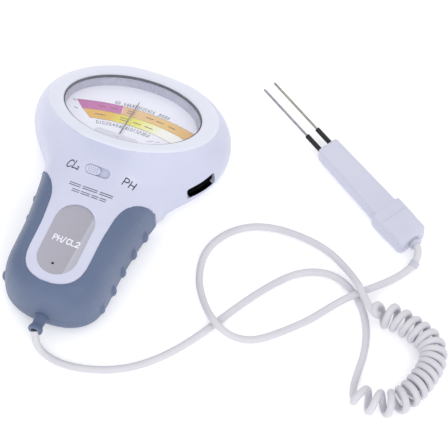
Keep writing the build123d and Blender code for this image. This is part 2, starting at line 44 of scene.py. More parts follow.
# ------------------------------------------------------------------ numbers shared with the CAD
WIN_Y, WIN_Z, TILT = 83.2, 32.1, math.radians(32.2)
SPLIT_Y, SPLIT_Z, SPLIT_SLOPE = -36.0, 11.0, 0.0443
NECK = [(16, 33.2), (20, 33.8), (28, 34.1), (34, 35.5), (39.2, 38.2), (43, 42.2), (46.0, 47.4), (47.9, 53.2)]
PIVOT = (2.2, -28.5)
DIAL_TOP = -6.2
HANDLE = [(0, -32.2), (5, -32.0), (10, -31.2), (14, -30.0), (18, -27.9), (21.3, -25.2), (23.8, -21.6), (25.3, -17.3), (26.0, -12),
          (26.1, -5), (26.2, 5), (27.0, 15), (28.1, 25), (29.3, 33), (30.8, 40), (32.8, 46.5), (35.4, 53), (38.4, 60), (39.5, 66)]
BOWL = np.array([(80.5, 0, 41, 36.5, 0), (80.8, 9, 50.8, 40.9, 4.8), (82.4, 21, 48.7, 41.7, 19.0), (83.2, 32.1, 42, 42, 32.2)], float)
PANEL = [(0, -24.7), (4.0, -24.5), (8.4, -23.2), (12.0, -20.8), (14.5, -17.0), (15.6, -12.6), (15.9, -7.6), (15.9, 0), (16.0, 5), (16.3, 9.5),
         (16.8, 14.5), (17.4, 19.6), (18.7, 24.2), (20.6, 27.8), (22.6, 30.2), (25.0, 32.8), (27.4, 35.2), (29.2, 37.4), (30.8, 39.4), (36, 44), (46, 52)]


def win(x, y, z):
    """Window frame: x across, y towards the far side along the slope, z out of the glass."""
    c, s = math.cos(TILT), math.sin(TILT)
    return (x, WIN_Y + y * c + z * s, WIN_Z - y * s + z * c)


WIN_N = Vector((0, math.sin(TILT), math.cos(TILT)))
WIN_V = Vector((0, math.cos(TILT), -math.sin(TILT)))


# ------------------------------------------------------------------ smooth outline helpers
def spline(pts, per=8):
    p = np.array(pts, float)
    p = np.vstack([2 * p[0] - p[1], p, 2 * p[-1] - p[-2]])
    out = []
    for i in range(1, len(p) - 2):
        t = np.linspace(0, 1, per, endpoint=False)[:, None]
        a, b, c, d = p[i - 1], p[i], p[i + 1], p[i + 2]
        out.append(0.5 * (2 * b + (c - a) * t + (2 * a - 5 * b + 4 * c - d) * t ** 2 + (3 * b - a - 3 * c + d) * t ** 3))
    out.append(p[-2][None, :])
    return np.vstack(out)


def poly_distance(px, py, poly):
    """Signed distance to a closed polygon, negative inside."""
    a = poly
    b = np.roll(poly, -1, axis=0)
    best = np.full(px.shape, 1e9)
    inside = np.zeros(px.shape, bool)
    for (ax, ay), (bx, by) in zip(a, b):
        ex, ey = bx - ax, by - ay
        wx, wy = px - ax, py - ay
        ll = ex * ex + ey * ey
        if ll < 1e-12:
            continue
        t = np.clip((wx * ex + wy * ey) / ll, 0, 1)
        d = (wx - ex * t) ** 2 + (wy - ey * t) ** 2
        best = np.minimum(best, d)
        if ay != by:
            cross = ((ay > py) != (by > py)) & (px < ex * (py - ay) / ey + ax)
            inside ^= cross
    d = np.sqrt(best)
    return np.where(inside, -d, d)


class Table:
    """A smooth function of two coordinates, kept on a grid and read back linearly."""

    def __init__(self, a0, a1, b0, b1, step, fn):
        self.a0, self.b0, self.step = a0, b0, step
        a = np.arange(a0, a1 + step, step)
        b = np.arange(b0, b1 + step, step)
        self.v = fn(*np.meshgrid(a, b, indexing="ij"))

    def __call__(self, a, b):
        u = np.clip((a - self.a0) / self.step, 0, self.v.shape[0] - 1.001)
        w = np.clip((b - self.b0) / self.step, 0, self.v.shape[1] - 1.001)
        i, j = u.astype(int), w.astype(int)
        u, w = u - i, w - j
        v = self.v
        return (v[i, j] * (1 - u) * (1 - w) + v[i + 1, j] * u * (1 - w) + v[i, j + 1] * (1 - u) * w + v[i + 1, j + 1] * u * w)


half = spline(HANDLE, 6)
outline = np.vstack([half, (half * [-1, 1])[::-1]])
handle_d = Table(-64, 64, -60, 100, 0.5, lambda x, y: poly_distance(x, y, outline))

panel_half = spline(PANEL, 6)
panel_poly = np.vstack([panel_half, [(46, 80), (-46, 80)], (panel_half * [-1, 1])[::-1][:-1]])
panel_d = Table(-60, 60, -60, 90, 0.4, lambda x, y: poly_distance(x, y, panel_poly))

S = np.array([0.0, 1.0, 2.0, 3.0])
COEF = [np.polyfit(S, BOWL[:, k], 3) for k in range(5)]


def bowl_at(s):
    cy, cz, rx, ry, t = (np.polyval(c, s) for c in COEF)
    return cy, cz, rx, ry, np.radians(t)


def bowl_s(y, z):
    lo = np.full(y.shape, -1.2)
    hi = np.full(y.shape, 3.8)
    for _ in range(26):
        m = (lo + hi) / 2
        cy, cz, rx, ry, t = bowl_at(m)
        g = (y - cy) * np.sin(t) + (z - cz) * np.cos(t)
        up = g > 0
        lo = np.where(up, m, lo)
        hi = np.where(up, hi, m)
    return (lo + hi) / 2


bowl_table = Table(20, 140, -14, 72, 0.5, bowl_s)


def smin(a, b, k):
    h = np.maximum(k - np.abs(a - b), 0) / k
    return np.minimum(a, b) - h * h * k * 0.25


def smax(a, b, k):
    return -smin(-a, -b, k)


H_TOP, H_WIDE, H_RX, H_P, H_BOT = 34.0, 9.5, 9.5, 2.3, 7.0


def f_handle(x, y, z):
    d = handle_d(x, y)
    rz = H_TOP - H_WIDE
    qx = np.maximum(d + H_RX, 0) / H_RX
    qz = np.maximum(z - H_WIDE, 0) / rz
    n = (qx ** H_P + qz ** H_P) ** (1 / H_P)
    # scale so that the value is close to a distance both across and upwards
    scale = H_RX + (rz - H_RX) * np.clip(qz / np.maximum(n, 1e-6), 0, 1) ** 2
    upper = (n - 1) * scale
    low = np.hypot(np.maximum(d + H_BOT, 0), np.maximum(H_BOT - z, 0)) - H_BOT
    low = low + np.minimum(np.maximum(d + H_BOT, H_BOT - z), 0)
    return np.where(z >= H_WIDE, np.maximum(upper, -z), smax(low, -z, 0.5))


def f_bowl(x, y, z):
    s = bowl_table(y, z)
    cy, cz, rx, ry, t = bowl_at(s)
    v = (y - cy) * np.cos(t) - (z - cz) * np.sin(t)
    r = np.sqrt((x / rx) ** 2 + (v / ry) ** 2)
    f = (r - 1) * 44.0
    cap = (y - WIN_Y) * math.sin(TILT) + (z - WIN_Z) * math.cos(TILT) - 2.2
    f = smax(f, -z, 5.0)
    return smax(f, cap, 1.0)


neck_poly = np.vstack([spline(NECK, 6), [(66, 41.6), (66, 14), (16, 14)]])
neck_table = Table(0, 80, -4, 64, 0.5, lambda y, z: poly_distance(y, z, neck_poly))
NECK_W, NECK_R, BLEND_SIDE, BLEND_TOP = 25.0, 15.0, 4.5, 11.0


def f_neck(x, y, z):
    a = np.abs(x) - NECK_W + NECK_R
    b = neck_table(y, z) + NECK_R
    return np.hypot(np.maximum(a, 0), np.maximum(b, 0)) + np.minimum(np.maximum(a, b), 0) - NECK_R


def f_body(x, y, z):
    t = np.clip((z - 14) / 18, 0, 1)
    k = BLEND_SIDE + (BLEND_TOP - BLEND_SIDE) * t * t * (3 - 2 * t)
    f = smin(f_handle(x, y, z), f_bowl(x, y, z), k)
    f = smin(f, f_neck(x, y, z), 4.0)
    return smax(f, -z, 1.2)


def gradient(f, p, h=0.12):
    g = np.empty_like(p)
    for k in range(3):
        a, b = p.copy(), p.copy()
        a[:, k] += h
        b[:, k] -= h
        g[:, k] = (f(*a.T) - f(*b.T)) / (2 * h)
    return g


def surface_nets(f, lo, hi, step, relax=2):
    """A closed quad mesh of f = 0, its points moved onto the exact surface."""
    ax = [np.arange(a, b + step, step) for a, b in zip(lo, hi)]
    X, Y, Z = np.meshgrid(*ax, indexing="ij")
    F = f(X, Y, Z)
    neg = F < 0
    nx, ny, nz = F.shape
    act = np.zeros((nx - 1, ny - 1, nz - 1), np.int8)
    for i in (0, 1):
        for j in (0, 1):
            for k in (0, 1):
                act += neg[i:nx - 1 + i, j:ny - 1 + j, k:nz - 1 + k]
    cells = (act > 0) & (act < 8)
    ids = -np.ones(cells.shape, np.int64)
    ci = np.argwhere(cells)
    ids[cells] = np.arange(len(ci))
    acc = np.zeros((len(ci), 3))
    cnt = np.zeros(len(ci))
    corners = [(i, j, k) for i in (0, 1) for j in (0, 1) for k in (0, 1)]
    for a in corners:
        for k in range(3):
            if a[k] == 1:
                continue
            b = list(a)
            b[k] = 1
            fa = F[ci[:, 0] + a[0], ci[:, 1] + a[1], ci[:, 2] + a[2]]
            fb = F[ci[:, 0] + b[0], ci[:, 1] + b[1], ci[:, 2] + b[2]]
            hit = (fa < 0) != (fb < 0)
            t = np.where(hit, fa / np.where(hit, fa - fb, 1), 0)
            pt = np.array(a, float)[None, :] + t[:, None] * (np.array(b, float) - np.array(a, float))[None, :]
            acc[hit] += pt[hit]
            cnt[hit] += 1
    p = ci + acc / cnt[:, None]
    p = np.array(lo, float) + p * step
    faces = []
    for k in range(3):
        u, w = (k + 1) % 3, (k + 2) % 3
        sl_a = [slice(None)] * 3
        sl_b = [slice(None)] * 3
        sl_a[k] = slice(0, F.shape[k] - 1)
        sl_b[k] = slice(1, F.shape[k])
        cross = neg[tuple(sl_a)] != neg[tuple(sl_b)]
        idx = np.argwhere(cross)
        ok = (idx[:, u] > 0) & (idx[:, w] > 0) & (idx[:, u] < F.shape[u] - 1) & (idx[:, w] < F.shape[w] - 1)
        idx = idx[ok]
        quad = []
        for du, dw in ((-1, -1), (0, -1), (0, 0), (-1, 0)):
            q = idx.copy()
            q[:, u] += du
            q[:, w] += dw
            quad.append(ids[q[:, 0], q[:, 1], q[:, 2]])
        quad = np.stack(quad, 1)
        first = neg[idx[:, 0], idx[:, 1], idx[:, 2]]
        quad[~first] = quad[~first][:, ::-1]
        faces.append(quad)
    faces = np.vstack(faces)
    # even out the points along the surface, then put them back on it
    for _ in range(relax):
        tot = np.zeros_like(p)
        num = np.zeros(len(p))
        for a, b in ((0, 1), (1, 2), (2, 3), (3, 0)):
            np.add.at(tot, faces[:, a], p[faces[:, b]])
            np.add.at(tot, faces[:, b], p[faces[:, a]])
            np.add.at(num, faces[:, a], 1)
            np.add.at(num, faces[:, b], 1)
        p = 0.4 * p + 0.6 * tot / num[:, None]
        for _ in range(2):
            g = gradient(f, p)
            gg = np.maximum((g ** 2).sum(1), 1e-3)
            step_v = (f(*p.T) / gg)[:, None] * g
            ln = np.linalg.norm(step_v, axis=1, keepdims=True)
            p = p - step_v * np.minimum(1, 0.8 / np.maximum(ln, 1e-9))
    return p, faces
#END_GEOMETRY


# ------------------------------------------------------------------ meshes
def make(name, verts_mm, faces, mat, body="case", sharp=32, swap=()):
    me = bpy.data.meshes.new(name)
    me.from_pydata([tuple(float(c) * MM for c in v) for v in verts_mm], [], [tuple(int(i) for i in f) for f in faces])
    me.validate()
    bm = bmesh.new()
    bm.from_mesh(me)
    bmesh.ops.remove_doubles(bm, verts=bm.verts, dist=1e-7)
    bmesh.ops.recalc_face_normals(bm, faces=bm.faces)
    bm.to_mesh(me)
    bm.free()
    return place(name, me, mat, body, sharp, swap)


def place(name, me, mat, body="case", sharp=32, swap=()):
    me.name = name
    o = bpy.data.objects.new(name, me)
    scene.collection.objects.link(o)
    for m in (mat if isinstance(mat, (list, tuple)) else [mat]):
        me.materials.append(m)
    me.shade_smooth()
    if sharp:
        me.set_sharp_from_angle(angle=math.radians(sharp))
    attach(o, body)
    if swap:
        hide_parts(*swap)
    return o


def lathe(profile, n=160, frame_fn=win, centre=(0, 0)):
    """A turned ring or cap: a closed profile of (radius, height) pairs, turned about the window's axis."""
    v, f = [], []
    m = len(profile)
    for i in range(n):
        a = 2 * math.pi * i / n
        for r, h in profile:
            v.append(frame_fn(centre[0] + r * math.cos(a), centre[1] + r * math.sin(a), h))
    for i in range(n):
        j = (i + 1) % n
        for k in range(m):
            k2 = (k + 1) % m
            f.append((i * m + k, j * m + k, j * m + k2, i * m + k2))
    return v, f


def to_mesh(p, f):
    me = bpy.data.meshes.new("raw")
    me.from_pydata((p * MM).tolist(), [], f.tolist())
    bm = bmesh.new()
    bm.from_mesh(me)
    bmesh.ops.recalc_face_normals(bm, faces=bm.faces)
    return bm


def cut(bm, co, no):
    """Removes what lies on the side that no points to."""
    bmesh.ops.bisect_plane(bm, geom=bm.verts[:] + bm.edges[:] + bm.faces[:], dist=1e-7, plane_co=Vector(co) * MM,
                           plane_no=Vector(no), clear_outer=True, clear_inner=False)


def apply_modifiers(o):
    dg = bpy.context.evaluated_depsgraph_get()
    me = bpy.data.meshes.new_from_object(o.evaluated_get(dg), depsgraph=dg)
    old = o.data
    o.modifiers.clear()
    o.data = me
    bpy.data.meshes.remove(old)
    return me


def thicken(o, mm, offset=-1.0):
    s = o.modifiers.new("wall", "SOLIDIFY")
    s.thickness = mm * MM
    s.offset = offset
    s.use_even_offset = False
    s.use_rim = True
    apply_modifiers(o)


def subtract(o, cutters):
    """Cuts each solid out in turn. A cut that would empty the piece is tried again with the solid moved by a hair."""
    for v, f in cutters:
        count = len(o.data.vertices)
        for shift, solver in ((0.0, "EXACT"), (0.013, "EXACT"), (-0.021, "EXACT"), (0.013, "FAST")):
            me = bpy.data.meshes.new("tool")
            me.from_pydata([tuple((float(c) + shift) * MM for c in q) for q in v], [], [tuple(t) for t in f])
            bm = bmesh.new()
            bm.from_mesh(me)
            bmesh.ops.recalc_face_normals(bm, faces=bm.faces)
            bm.to_mesh(me)
            bm.free()
            t = bpy.data.objects.new("tool", me)
            scene.collection.objects.link(t)
            b = o.modifiers.new("cut", "BOOLEAN")
            b.operation = "DIFFERENCE"
            b.solver = solver
            b.object = t
            bpy.context.view_layer.update()
            dg = bpy.context.evaluated_depsgraph_get()
            res = bpy.data.meshes.new_from_object(o.evaluated_get(dg), depsgraph=dg)
            o.modifiers.clear()
            bpy.data.objects.remove(t)
            bpy.data.meshes.remove(me)
            if len(res.vertices) > 0.7 * count:
                before = o.data
                o.data = res
                bpy.data.meshes.remove(before)
                break
            bpy.data.meshes.remove(res)
        else:
            print("cut not made on", o.name)


def prism(loop, origin, ex, ey, ez, h0, h1):
    """A closed solid: a flat loop in the plane (ex, ey) drawn along ez from h0 to h1."""
    o, ex, ey, ez = (np.array(t, float) for t in (origin, ex, ey, ez))
    lo = [o + a * ex + b * ey + h0 * ez for a, b in loop]
    hi = [o + a * ex + b * ey + h1 * ez for a, b in loop]
    n = len(loop)
    f = [tuple(range(n))[::-1], tuple(range(n, 2 * n))]
    for i in range(n):
        j = (i + 1) % n
        f.append((i, j, n + j, n + i))
    return lo + hi, f


def stadium(length, width, n=20, cx=0.0, cy=0.0, turn=0.0):
    r = width / 2
    h = length / 2 - r
    pts = []
    for s, a0 in ((1, -math.pi / 2), (-1, math.pi / 2)):
        for i in range(n + 1):
            a = a0 + math.pi * i / n
            pts.append((s * h + r * math.cos(a), r * math.sin(a)))
    c, s = math.cos(turn), math.sin(turn)
    return [(cx + x * c - y * s, cy + x * s + y * c) for x, y in pts]


def rounded(lx, ly, r, n=6, cx=0.0, cy=0.0):
    pts = []
    for sx, sy, a0 in ((1, 1, 0), (-1, 1, math.pi / 2), (-1, -1, math.pi), (1, -1, 1.5 * math.pi)):
        for i in range(n + 1):
            a = a0 + math.pi / 2 * i / n
            pts.append((cx + sx * (lx / 2 - r) + r * math.cos(a), cy + sy * (ly / 2 - r) + r * math.sin(a)))
    return pts


def circle(r, n=28, cx=0.0, cy=0.0):
    return [(cx + r * math.cos(2 * math.pi * i / n), cy + r * math.sin(2 * math.pi * i / n)) for i in range(n)]


# ------------------------------------------------------------------ materials
def lin(c):
    return tuple(((v / 255) / 12.92 if v / 255 <= 0.04045 else (((v / 255) + 0.055) / 1.055) ** 2.4) for v in c)


class Mat:
    def __init__(self, name, rough=0.4, metal=0.0, spec=0.5, coat=0.0, sheen=0.0, ior=1.5):
        self.m = bpy.data.materials.new(name)
        self.m.use_nodes = True
        self.t = self.m.node_tree
        self.t.nodes.clear()
        self.out = self.t.nodes.new("ShaderNodeOutputMaterial")
        self.b = self.t.nodes.new("ShaderNodeBsdfPrincipled")
        self.t.links.new(self.b.outputs[0], self.out.inputs[0])
        self.b.inputs["Roughness"].default_value = rough
        self.b.inputs["Metallic"].default_value = metal
        self.b.inputs["Specular IOR Level"].default_value = spec
        self.b.inputs["Coat Weight"].default_value = coat
        self.b.inputs["Coat Roughness"].default_value = 0.15
        self.b.inputs["Sheen Weight"].default_value = sheen
        self.b.inputs["IOR"].default_value = ior
        self.co = self.t.nodes.new("ShaderNodeTexCoord").outputs["Object"]

    def node(self, kind, **kw):
        n = self.t.nodes.new(kind)
        for k, v in kw.items():
            setattr(n, k, v)
        return n

    def link(self, a, b):
        self.t.links.new(a, b)

    def mapping(self, scale=(1, 1, 1), rot=(0, 0, 0), loc=(0, 0, 0)):
        n = self.node("ShaderNodeMapping")
        n.inputs["Scale"].default_value = scale
        n.inputs["Rotation"].default_value = rot
        n.inputs["Location"].default_value = loc
        self.link(self.co, n.inputs["Vector"])
        return n.outputs[0]

    def noise(self, per_mm, detail=3, rough=0.55, vec=None, distortion=0.0):
        n = self.node("ShaderNodeTexNoise")
        n.inputs["Scale"].default_value = per_mm / MM
        n.inputs["Detail"].default_value = detail
        n.inputs["Roughness"].default_value = rough
        n.inputs["Distortion"].default_value = distortion
        self.link(vec if vec is not None else self.co, n.inputs["Vector"])
        return n.outputs["Fac"]

    def ramp(self, fac, stops, mode="LINEAR"):
        r = self.node("ShaderNodeValToRGB")
        r.color_ramp.interpolation = mode
        e = r.color_ramp.elements
        e[0].position, e[0].color = stops[0][0], (*stops[0][1], 1)
        e[1].position, e[1].color = stops[-1][0], (*stops[-1][1], 1)
        for p, c in stops[1:-1]:
            x = e.new(p)
            x.color = (*c, 1)
        self.link(fac, r.inputs[0])
        return r.outputs[0]

    def span(self, fac, lo, hi, a=0.3, b=0.7):
        r = self.node("ShaderNodeMapRange")
        r.inputs["From Min"].default_value = a
        r.inputs["From Max"].default_value = b
        r.inputs["To Min"].default_value = lo
        r.inputs["To Max"].default_value = hi
        self.link(fac, r.inputs["Value"])
        return r.outputs[0]

    def colour(self, c, c2=None, per_mm=0.05, detail=3):
        """A base colour that drifts a little between two close tones."""
        c2 = c2 or tuple(max(0, v - 5) for v in c)
        out = self.ramp(self.noise(per_mm, detail), [(0.35, lin(c2)), (0.65, lin(c))])
        self.link(out, self.b.inputs["Base Color"])
        return self

    def roughen(self, lo, hi, per_mm=0.3, detail=4):
        self.link(self.span(self.noise(per_mm, detail), lo, hi), self.b.inputs["Roughness"])
        return self

    def bump(self, fac, strength=0.2, dist_mm=0.05):
        n = self.node("ShaderNodeBump")
        n.inputs["Strength"].default_value = strength
        n.inputs["Distance"].default_value = dist_mm * MM
        self.link(fac, n.inputs["Height"])
        prev = getattr(self, "last_bump", None)
        if prev is not None:
            self.link(prev, n.inputs["Normal"])
        self.last_bump = n.outputs[0]
        self.link(self.last_bump, self.b.inputs["Normal"])
        return self

    def grain(self, per_mm, strength=0.15, dist_mm=0.03, detail=2):
        return self.bump(self.noise(per_mm, detail), strength, dist_mm)


WHITE_A, WHITE_B = (199, 202, 222), (194, 197, 219)
m_case = Mat("case_white", 0.34, spec=0.45, coat=0.15).colour(WHITE_A, WHITE_B, 0.02).roughen(0.28, 0.42, 0.4).grain(4.0, 0.10, 0.02).grain(0.05, 0.2, 0.12).m
m_bezel = Mat("bezel_white", 0.36, spec=0.45, coat=0.1).colour((218, 221, 234), (214, 217, 231), 0.02).roughen(0.32, 0.42, 0.4).grain(2.0, 0.03, 0.01).m
m_grip = Mat("grip_blue", 0.55, spec=0.35, sheen=0.15)
m_grip.colour((94, 108, 137), (88, 102, 131), 0.03).roughen(0.46, 0.62, 0.5).grain(2.6, 0.28, 0.05, 3)
m_grip = m_grip.m
m_sleeve = Mat("sleeve_black", 0.5, spec=0.4).colour((24, 24, 27), (15, 15, 18), 0.3).roughen(0.4, 0.6, 1.0).grain(3.0, 0.2, 0.03).m
m_cord = Mat("cord_white", 0.42, spec=0.45, coat=0.1).colour((206, 205, 211), (200, 199, 207), 0.04).roughen(0.34, 0.5, 0.5).grain(2.0, 0.14, 0.03).m
m_probe = Mat("probe_white", 0.4, spec=0.4, coat=0.05).colour((199, 201, 217), (194, 196, 213), 0.03).roughen(0.34, 0.48, 0.4).grain(3.5, 0.1, 0.02).m
m_collar = Mat("collar_clear", 0.25, spec=0.5, coat=0.2).colour((190, 194, 206), (180, 184, 198), 0.2).roughen(0.2, 0.32, 0.8).grain(2.0, 0.1, 0.02).m
# painted shade: the probe pocket is coloured near-black to stand in for the shade deep inside its cavity
m_pocket_painted_shade = Mat("pocket_dark", 0.45, spec=0.4).colour((22, 21, 28), (12, 12, 17), 0.1).roughen(0.35, 0.55, 0.6).grain(3.0, 0.12, 0.02).m
m_seal = Mat("seal_dark", 0.5, spec=0.4).colour((74, 74, 84), (60, 60, 70), 0.3).roughen(0.4, 0.6, 0.8).grain(3.0, 0.2, 0.02).m
m_surround = Mat("surround_grey", 0.45, spec=0.35).colour((188, 188, 205), (176, 176, 196), 0.08).roughen(0.38, 0.5, 0.5).grain(3.0, 0.1, 0.02).m
m_dial = Mat("dial_white", 0.6, spec=0.25).colour((240, 240, 252), (236, 236, 249), 0.05).roughen(0.5, 0.66, 1.0).grain(5.0, 0.06, 0.01).m
m_bridge = Mat("bridge_pale", 0.45, spec=0.35).colour((214, 214, 226), (206, 206, 220), 0.3).roughen(0.38, 0.5, 0.8).grain(4.0, 0.08, 0.01).m
m_needle = Mat("needle_grey", 0.4, metal=0.2, spec=0.4).colour((96, 94, 104), (78, 76, 88), 0.4).roughen(0.3, 0.45, 1.5).grain(4.0, 0.1, 0.01).m
m_ink = Mat("ink_dark", 0.55, spec=0.3).colour((66, 66, 84), (52, 52, 70), 0.8).roughen(0.45, 0.6, 2.0).grain(6.0, 0.1, 0.01).m
m_ink2 = Mat("ink_fine", 0.55, spec=0.3).colour((84, 84, 104), (72, 72, 92), 0.8).roughen(0.45, 0.6, 2.0).grain(6.0, 0.1, 0.01).m
m_ink3 = Mat("ink_white", 0.5, spec=0.35).colour((240, 240, 248), (230, 230, 242), 0.8).roughen(0.4, 0.55, 2.0).grain(6.0, 0.1, 0.01).m
m_steel = Mat("steel", 0.3, metal=1.0).colour((178, 176, 172), (158, 156, 154), 0.5).roughen(0.22, 0.4, 1.2).grain(5.0, 0.12, 0.01).m
m_brass = Mat("brass", 0.32, metal=1.0).colour((206, 176, 108), (186, 152, 88), 0.5).roughen(0.25, 0.4, 1.2).grain(5.0, 0.1, 0.01).m
m_copper_wire = Mat("coil_copper", 0.35, metal=1.0).colour((190, 112, 74), (166, 92, 58), 0.8).roughen(0.3, 0.45, 2.0).grain(6.0, 0.2, 0.03).m
m_magnet = Mat("magnet_dark", 0.4, metal=0.7).colour((70, 70, 74), (52, 52, 56), 0.6).roughen(0.3, 0.5, 1.5).grain(4.0, 0.2, 0.02).m
m_frame = Mat("frame_black", 0.45, spec=0.4).colour((34, 34, 38), (24, 24, 28), 0.3).roughen(0.36, 0.54, 0.8).grain(3.0, 0.15, 0.02).m
m_board = Mat("board_green", 0.4, spec=0.5, coat=0.3).colour((44, 104, 66), (30, 84, 52), 0.25, 5).roughen(0.3, 0.45, 0.8).grain(2.0, 0.2, 0.03).m
m_tan = Mat("part_tan", 0.45, spec=0.45, coat=0.2).colour((206, 176, 132), (190, 158, 112), 0.6).roughen(0.35, 0.5, 1.0).grain(3.0, 0.12, 0.02).m
m_trim = Mat("trimmer_blue", 0.4, spec=0.45).colour((52, 92, 168), (42, 78, 148), 0.5).roughen(0.32, 0.46, 1.0).grain(3.0, 0.12, 0.02).m
m_red = Mat("wire_red", 0.4, spec=0.45).colour((176, 42, 40), (156, 32, 32), 0.5).roughen(0.32, 0.48, 1.0).grain(3.0, 0.12, 0.02).m
m_tail = Mat("cord_tail_white", 0.42, spec=0.45).colour((206, 205, 211), (200, 199, 207), 0.04).roughen(0.34, 0.5, 0.5).grain(2.0, 0.14, 0.03).m

# electrodes: dull metal
m_cu = Mat("plated_pin", 0.36, metal=1.0).colour((176, 172, 164), (150, 146, 138), 0.5).roughen(0.28, 0.46, 1.2).grain(4.0, 0.16, 0.02).m
m_zn = Mat("zinc_pin", 0.36, metal=1.0).colour((172, 172, 178), (148, 148, 156), 0.5).roughen(0.28, 0.46, 1.2).grain(4.0, 0.16, 0.02).m

# label: pale metallic film; the one lighter band across its right side is a painted reflection
lab = Mat("label_silver", 0.42, spec=0.4)
vec = lab.mapping(rot=(0, 0, math.radians(2.7)))
sep = lab.node("ShaderNodeSeparateXYZ")
lab.link(vec, sep.inputs[0])
# painted reflection: the ramp steps up to a lighter band from 0.64 onward across the label
band = lab.ramp(lab.span(sep.outputs["X"], 0, 1, -0.012, 0.018),
                [(0.0, lin((166, 164, 176))), (0.60, lin((160, 159, 170))), (0.628, lin((160, 159, 170))), (0.640, lin((180, 179, 192))),
                 (0.70, lin((174, 173, 186))), (1.0, lin((170, 169, 182)))])
mixn = lab.node("ShaderNodeMix", data_type="RGBA", blend_type="MULTIPLY")
mixn.inputs[0].default_value = 1.0
lab.link(band, mixn.inputs[6])
lab.link(lab.ramp(lab.noise(0.5, 5, 0.6), [(0.3, (0.96, 0.96, 0.965)), (0.7, (1.0, 1.0, 1.0))]), mixn.inputs[7])
lab.link(mixn.outputs[2], lab.b.inputs["Base Color"])
lab.roughen(0.34, 0.5, 0.8).grain(3.0, 0.12, 0.02)
m_label = lab.m

# clear window: thin, slightly glossy, nearly invisible
m_lens = Mat("lens_clear", 0.05, spec=0.5, ior=1.49)
m_lens.colour((240, 244, 250), (232, 238, 248), 0.02)
m_lens.b.inputs["Alpha"].default_value = 0.07
m_lens.grain(0.08, 0.1, 0.05)
m_lens = m_lens.m

CAD_MATERIALS = {
    "case_screws": m_steel, "window_lens": m_lens, "window_seal": m_seal, "dial_plate": m_dial, "meter_frame": m_frame,
    "meter_yoke": m_steel, "meter_magnet": m_magnet, "core_clamp": m_brass, "moving_coil": m_copper_wire, "pivot_staff": m_steel,
    "jewel_bearings": m_bridge, "meter_bridge": m_bridge, "pointer": m_needle, "hairspring": m_brass, "meter_screws": m_steel,
    "selector_knob": m_case, "slide_switch": m_frame, "switch_contact": m_brass, "circuit_board": m_board,
    "board_screws": m_steel, "board_posts": m_case, "trimmer_body": m_trim, "trimmer_rotor": m_ink3, "resistors": m_tan,
    "probe_leads": m_red, "meter_leads": m_frame, "label_plate": m_label, "probe_pocket": m_pocket_painted_shade, "cable_gland": m_grip,
    "probe_shell_top": m_probe, "probe_shell_bottom": m_probe, "pin_sleeves": m_sleeve, "electrode_copper": m_cu,
    "electrode_zinc": m_zn, "pin_carrier": m_frame, "probe_wires": m_red, "probe_strain_relief": m_collar,
    "cord_tail": m_tail, "cord_collar": m_collar, "bezel_ring": m_bezel, "dial_surround": m_surround, "front_cover": m_case,
    "rear_cover": m_case, "grip_front": m_grip, "grip_rear": m_grip, "cord_lead_gland": m_cord, "cord_lead_probe": m_cord,
    "cord_coil": m_cord,
}
for name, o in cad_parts.items():
    m = CAD_MATERIALS[name]
    for i in range(max(1, len(o.material_slots))):
        if i < len(o.material_slots):
            o.material_slots[i].material = m
        else:
            o.data.materials.append(m)


# ------------------------------------------------------------------ case covers
def split_co(gap):
    return (0, SPLIT_Y, SPLIT_Z + gap)


SPLIT_N = Vector((0, SPLIT_SLOPE, 1)).normalized()


def f_cover(x, y, z):
    # under the handle the cover stops just short of the table, because the grip wraps it there
    base = 0.35 * np.clip((44 - y) / 12, 0, 1)
    return smax(f_body(x, y, z), base - z, 0.5)


STEP = 1.15
body_p, body_f = surface_nets(f_cover, (-58, -40, -3), (58, 128, 62), STEP)
WX, WY, WZ = (1, 0, 0), tuple(WIN_V), tuple(WIN_N)
WO = (0, WIN_Y, WIN_Z)
SW_T = math.radians(28)
SW_O, SW_X, SW_YD, SW_N = (0, 39.2, 38.2), (1, 0, 0), (0, math.cos(SW_T), math.sin(SW_T)), (0, -math.sin(SW_T), math.cos(SW_T))
PK_O, PK_T, PK_N = (44.4, 63.6, 15.2), (0.52, 0.854, 0), (0.854, -0.52, 0)
GL_O = (0.4, -30, 11)

bm = to_mesh(body_p, body_f)
cut(bm, split_co(0.12), -SPLIT_N)
cut(bm, win(0, 0, -1.5), WIN_N)
me = bpy.data.meshes.new("cover_front")
bm.to_mesh(me)
bm.free()
front = place("cover_front", me, m_case, "case", 0, ("front_cover",))
thicken(front, 2.4)
subtract(front, [
        prism(circle(39.95, 144), WO, WX, WY, WZ, -4.3, 6.0),
    prism(stadium(13.0, 4.8), SW_O, SW_X, SW_YD, SW_N, -6.0, 8.0),
    prism(rounded(26, 9, 1), SW_O, SW_X, SW_YD, SW_N, -9.0, -1.35),
    prism(rounded(17, 8.4, 1.6), PK_O, PK_T, (0, 0, 1), PK_N, -14.0, 12.0),
    prism(stadium(40.3, 20.5, 24, turn=math.pi / 2), (0, 0, 0), (1, 0, 0), (0, 1, 0), (0, 0, 1), 33.5, 44.0),
    prism(circle(0.9, 20, -0.7, -14.5), (0, 0, 0), (1, 0, 0), (0, 1, 0), (0, 0, 1), 26.0, 36.0),
    prism(circle(3.65, 36), GL_O, (1, 0, 0), (0, 0, 1), (0, -1, 0), -6.0, 8.0),
])
front.data.shade_smooth()
front.data.set_sharp_from_angle(angle=math.radians(38))

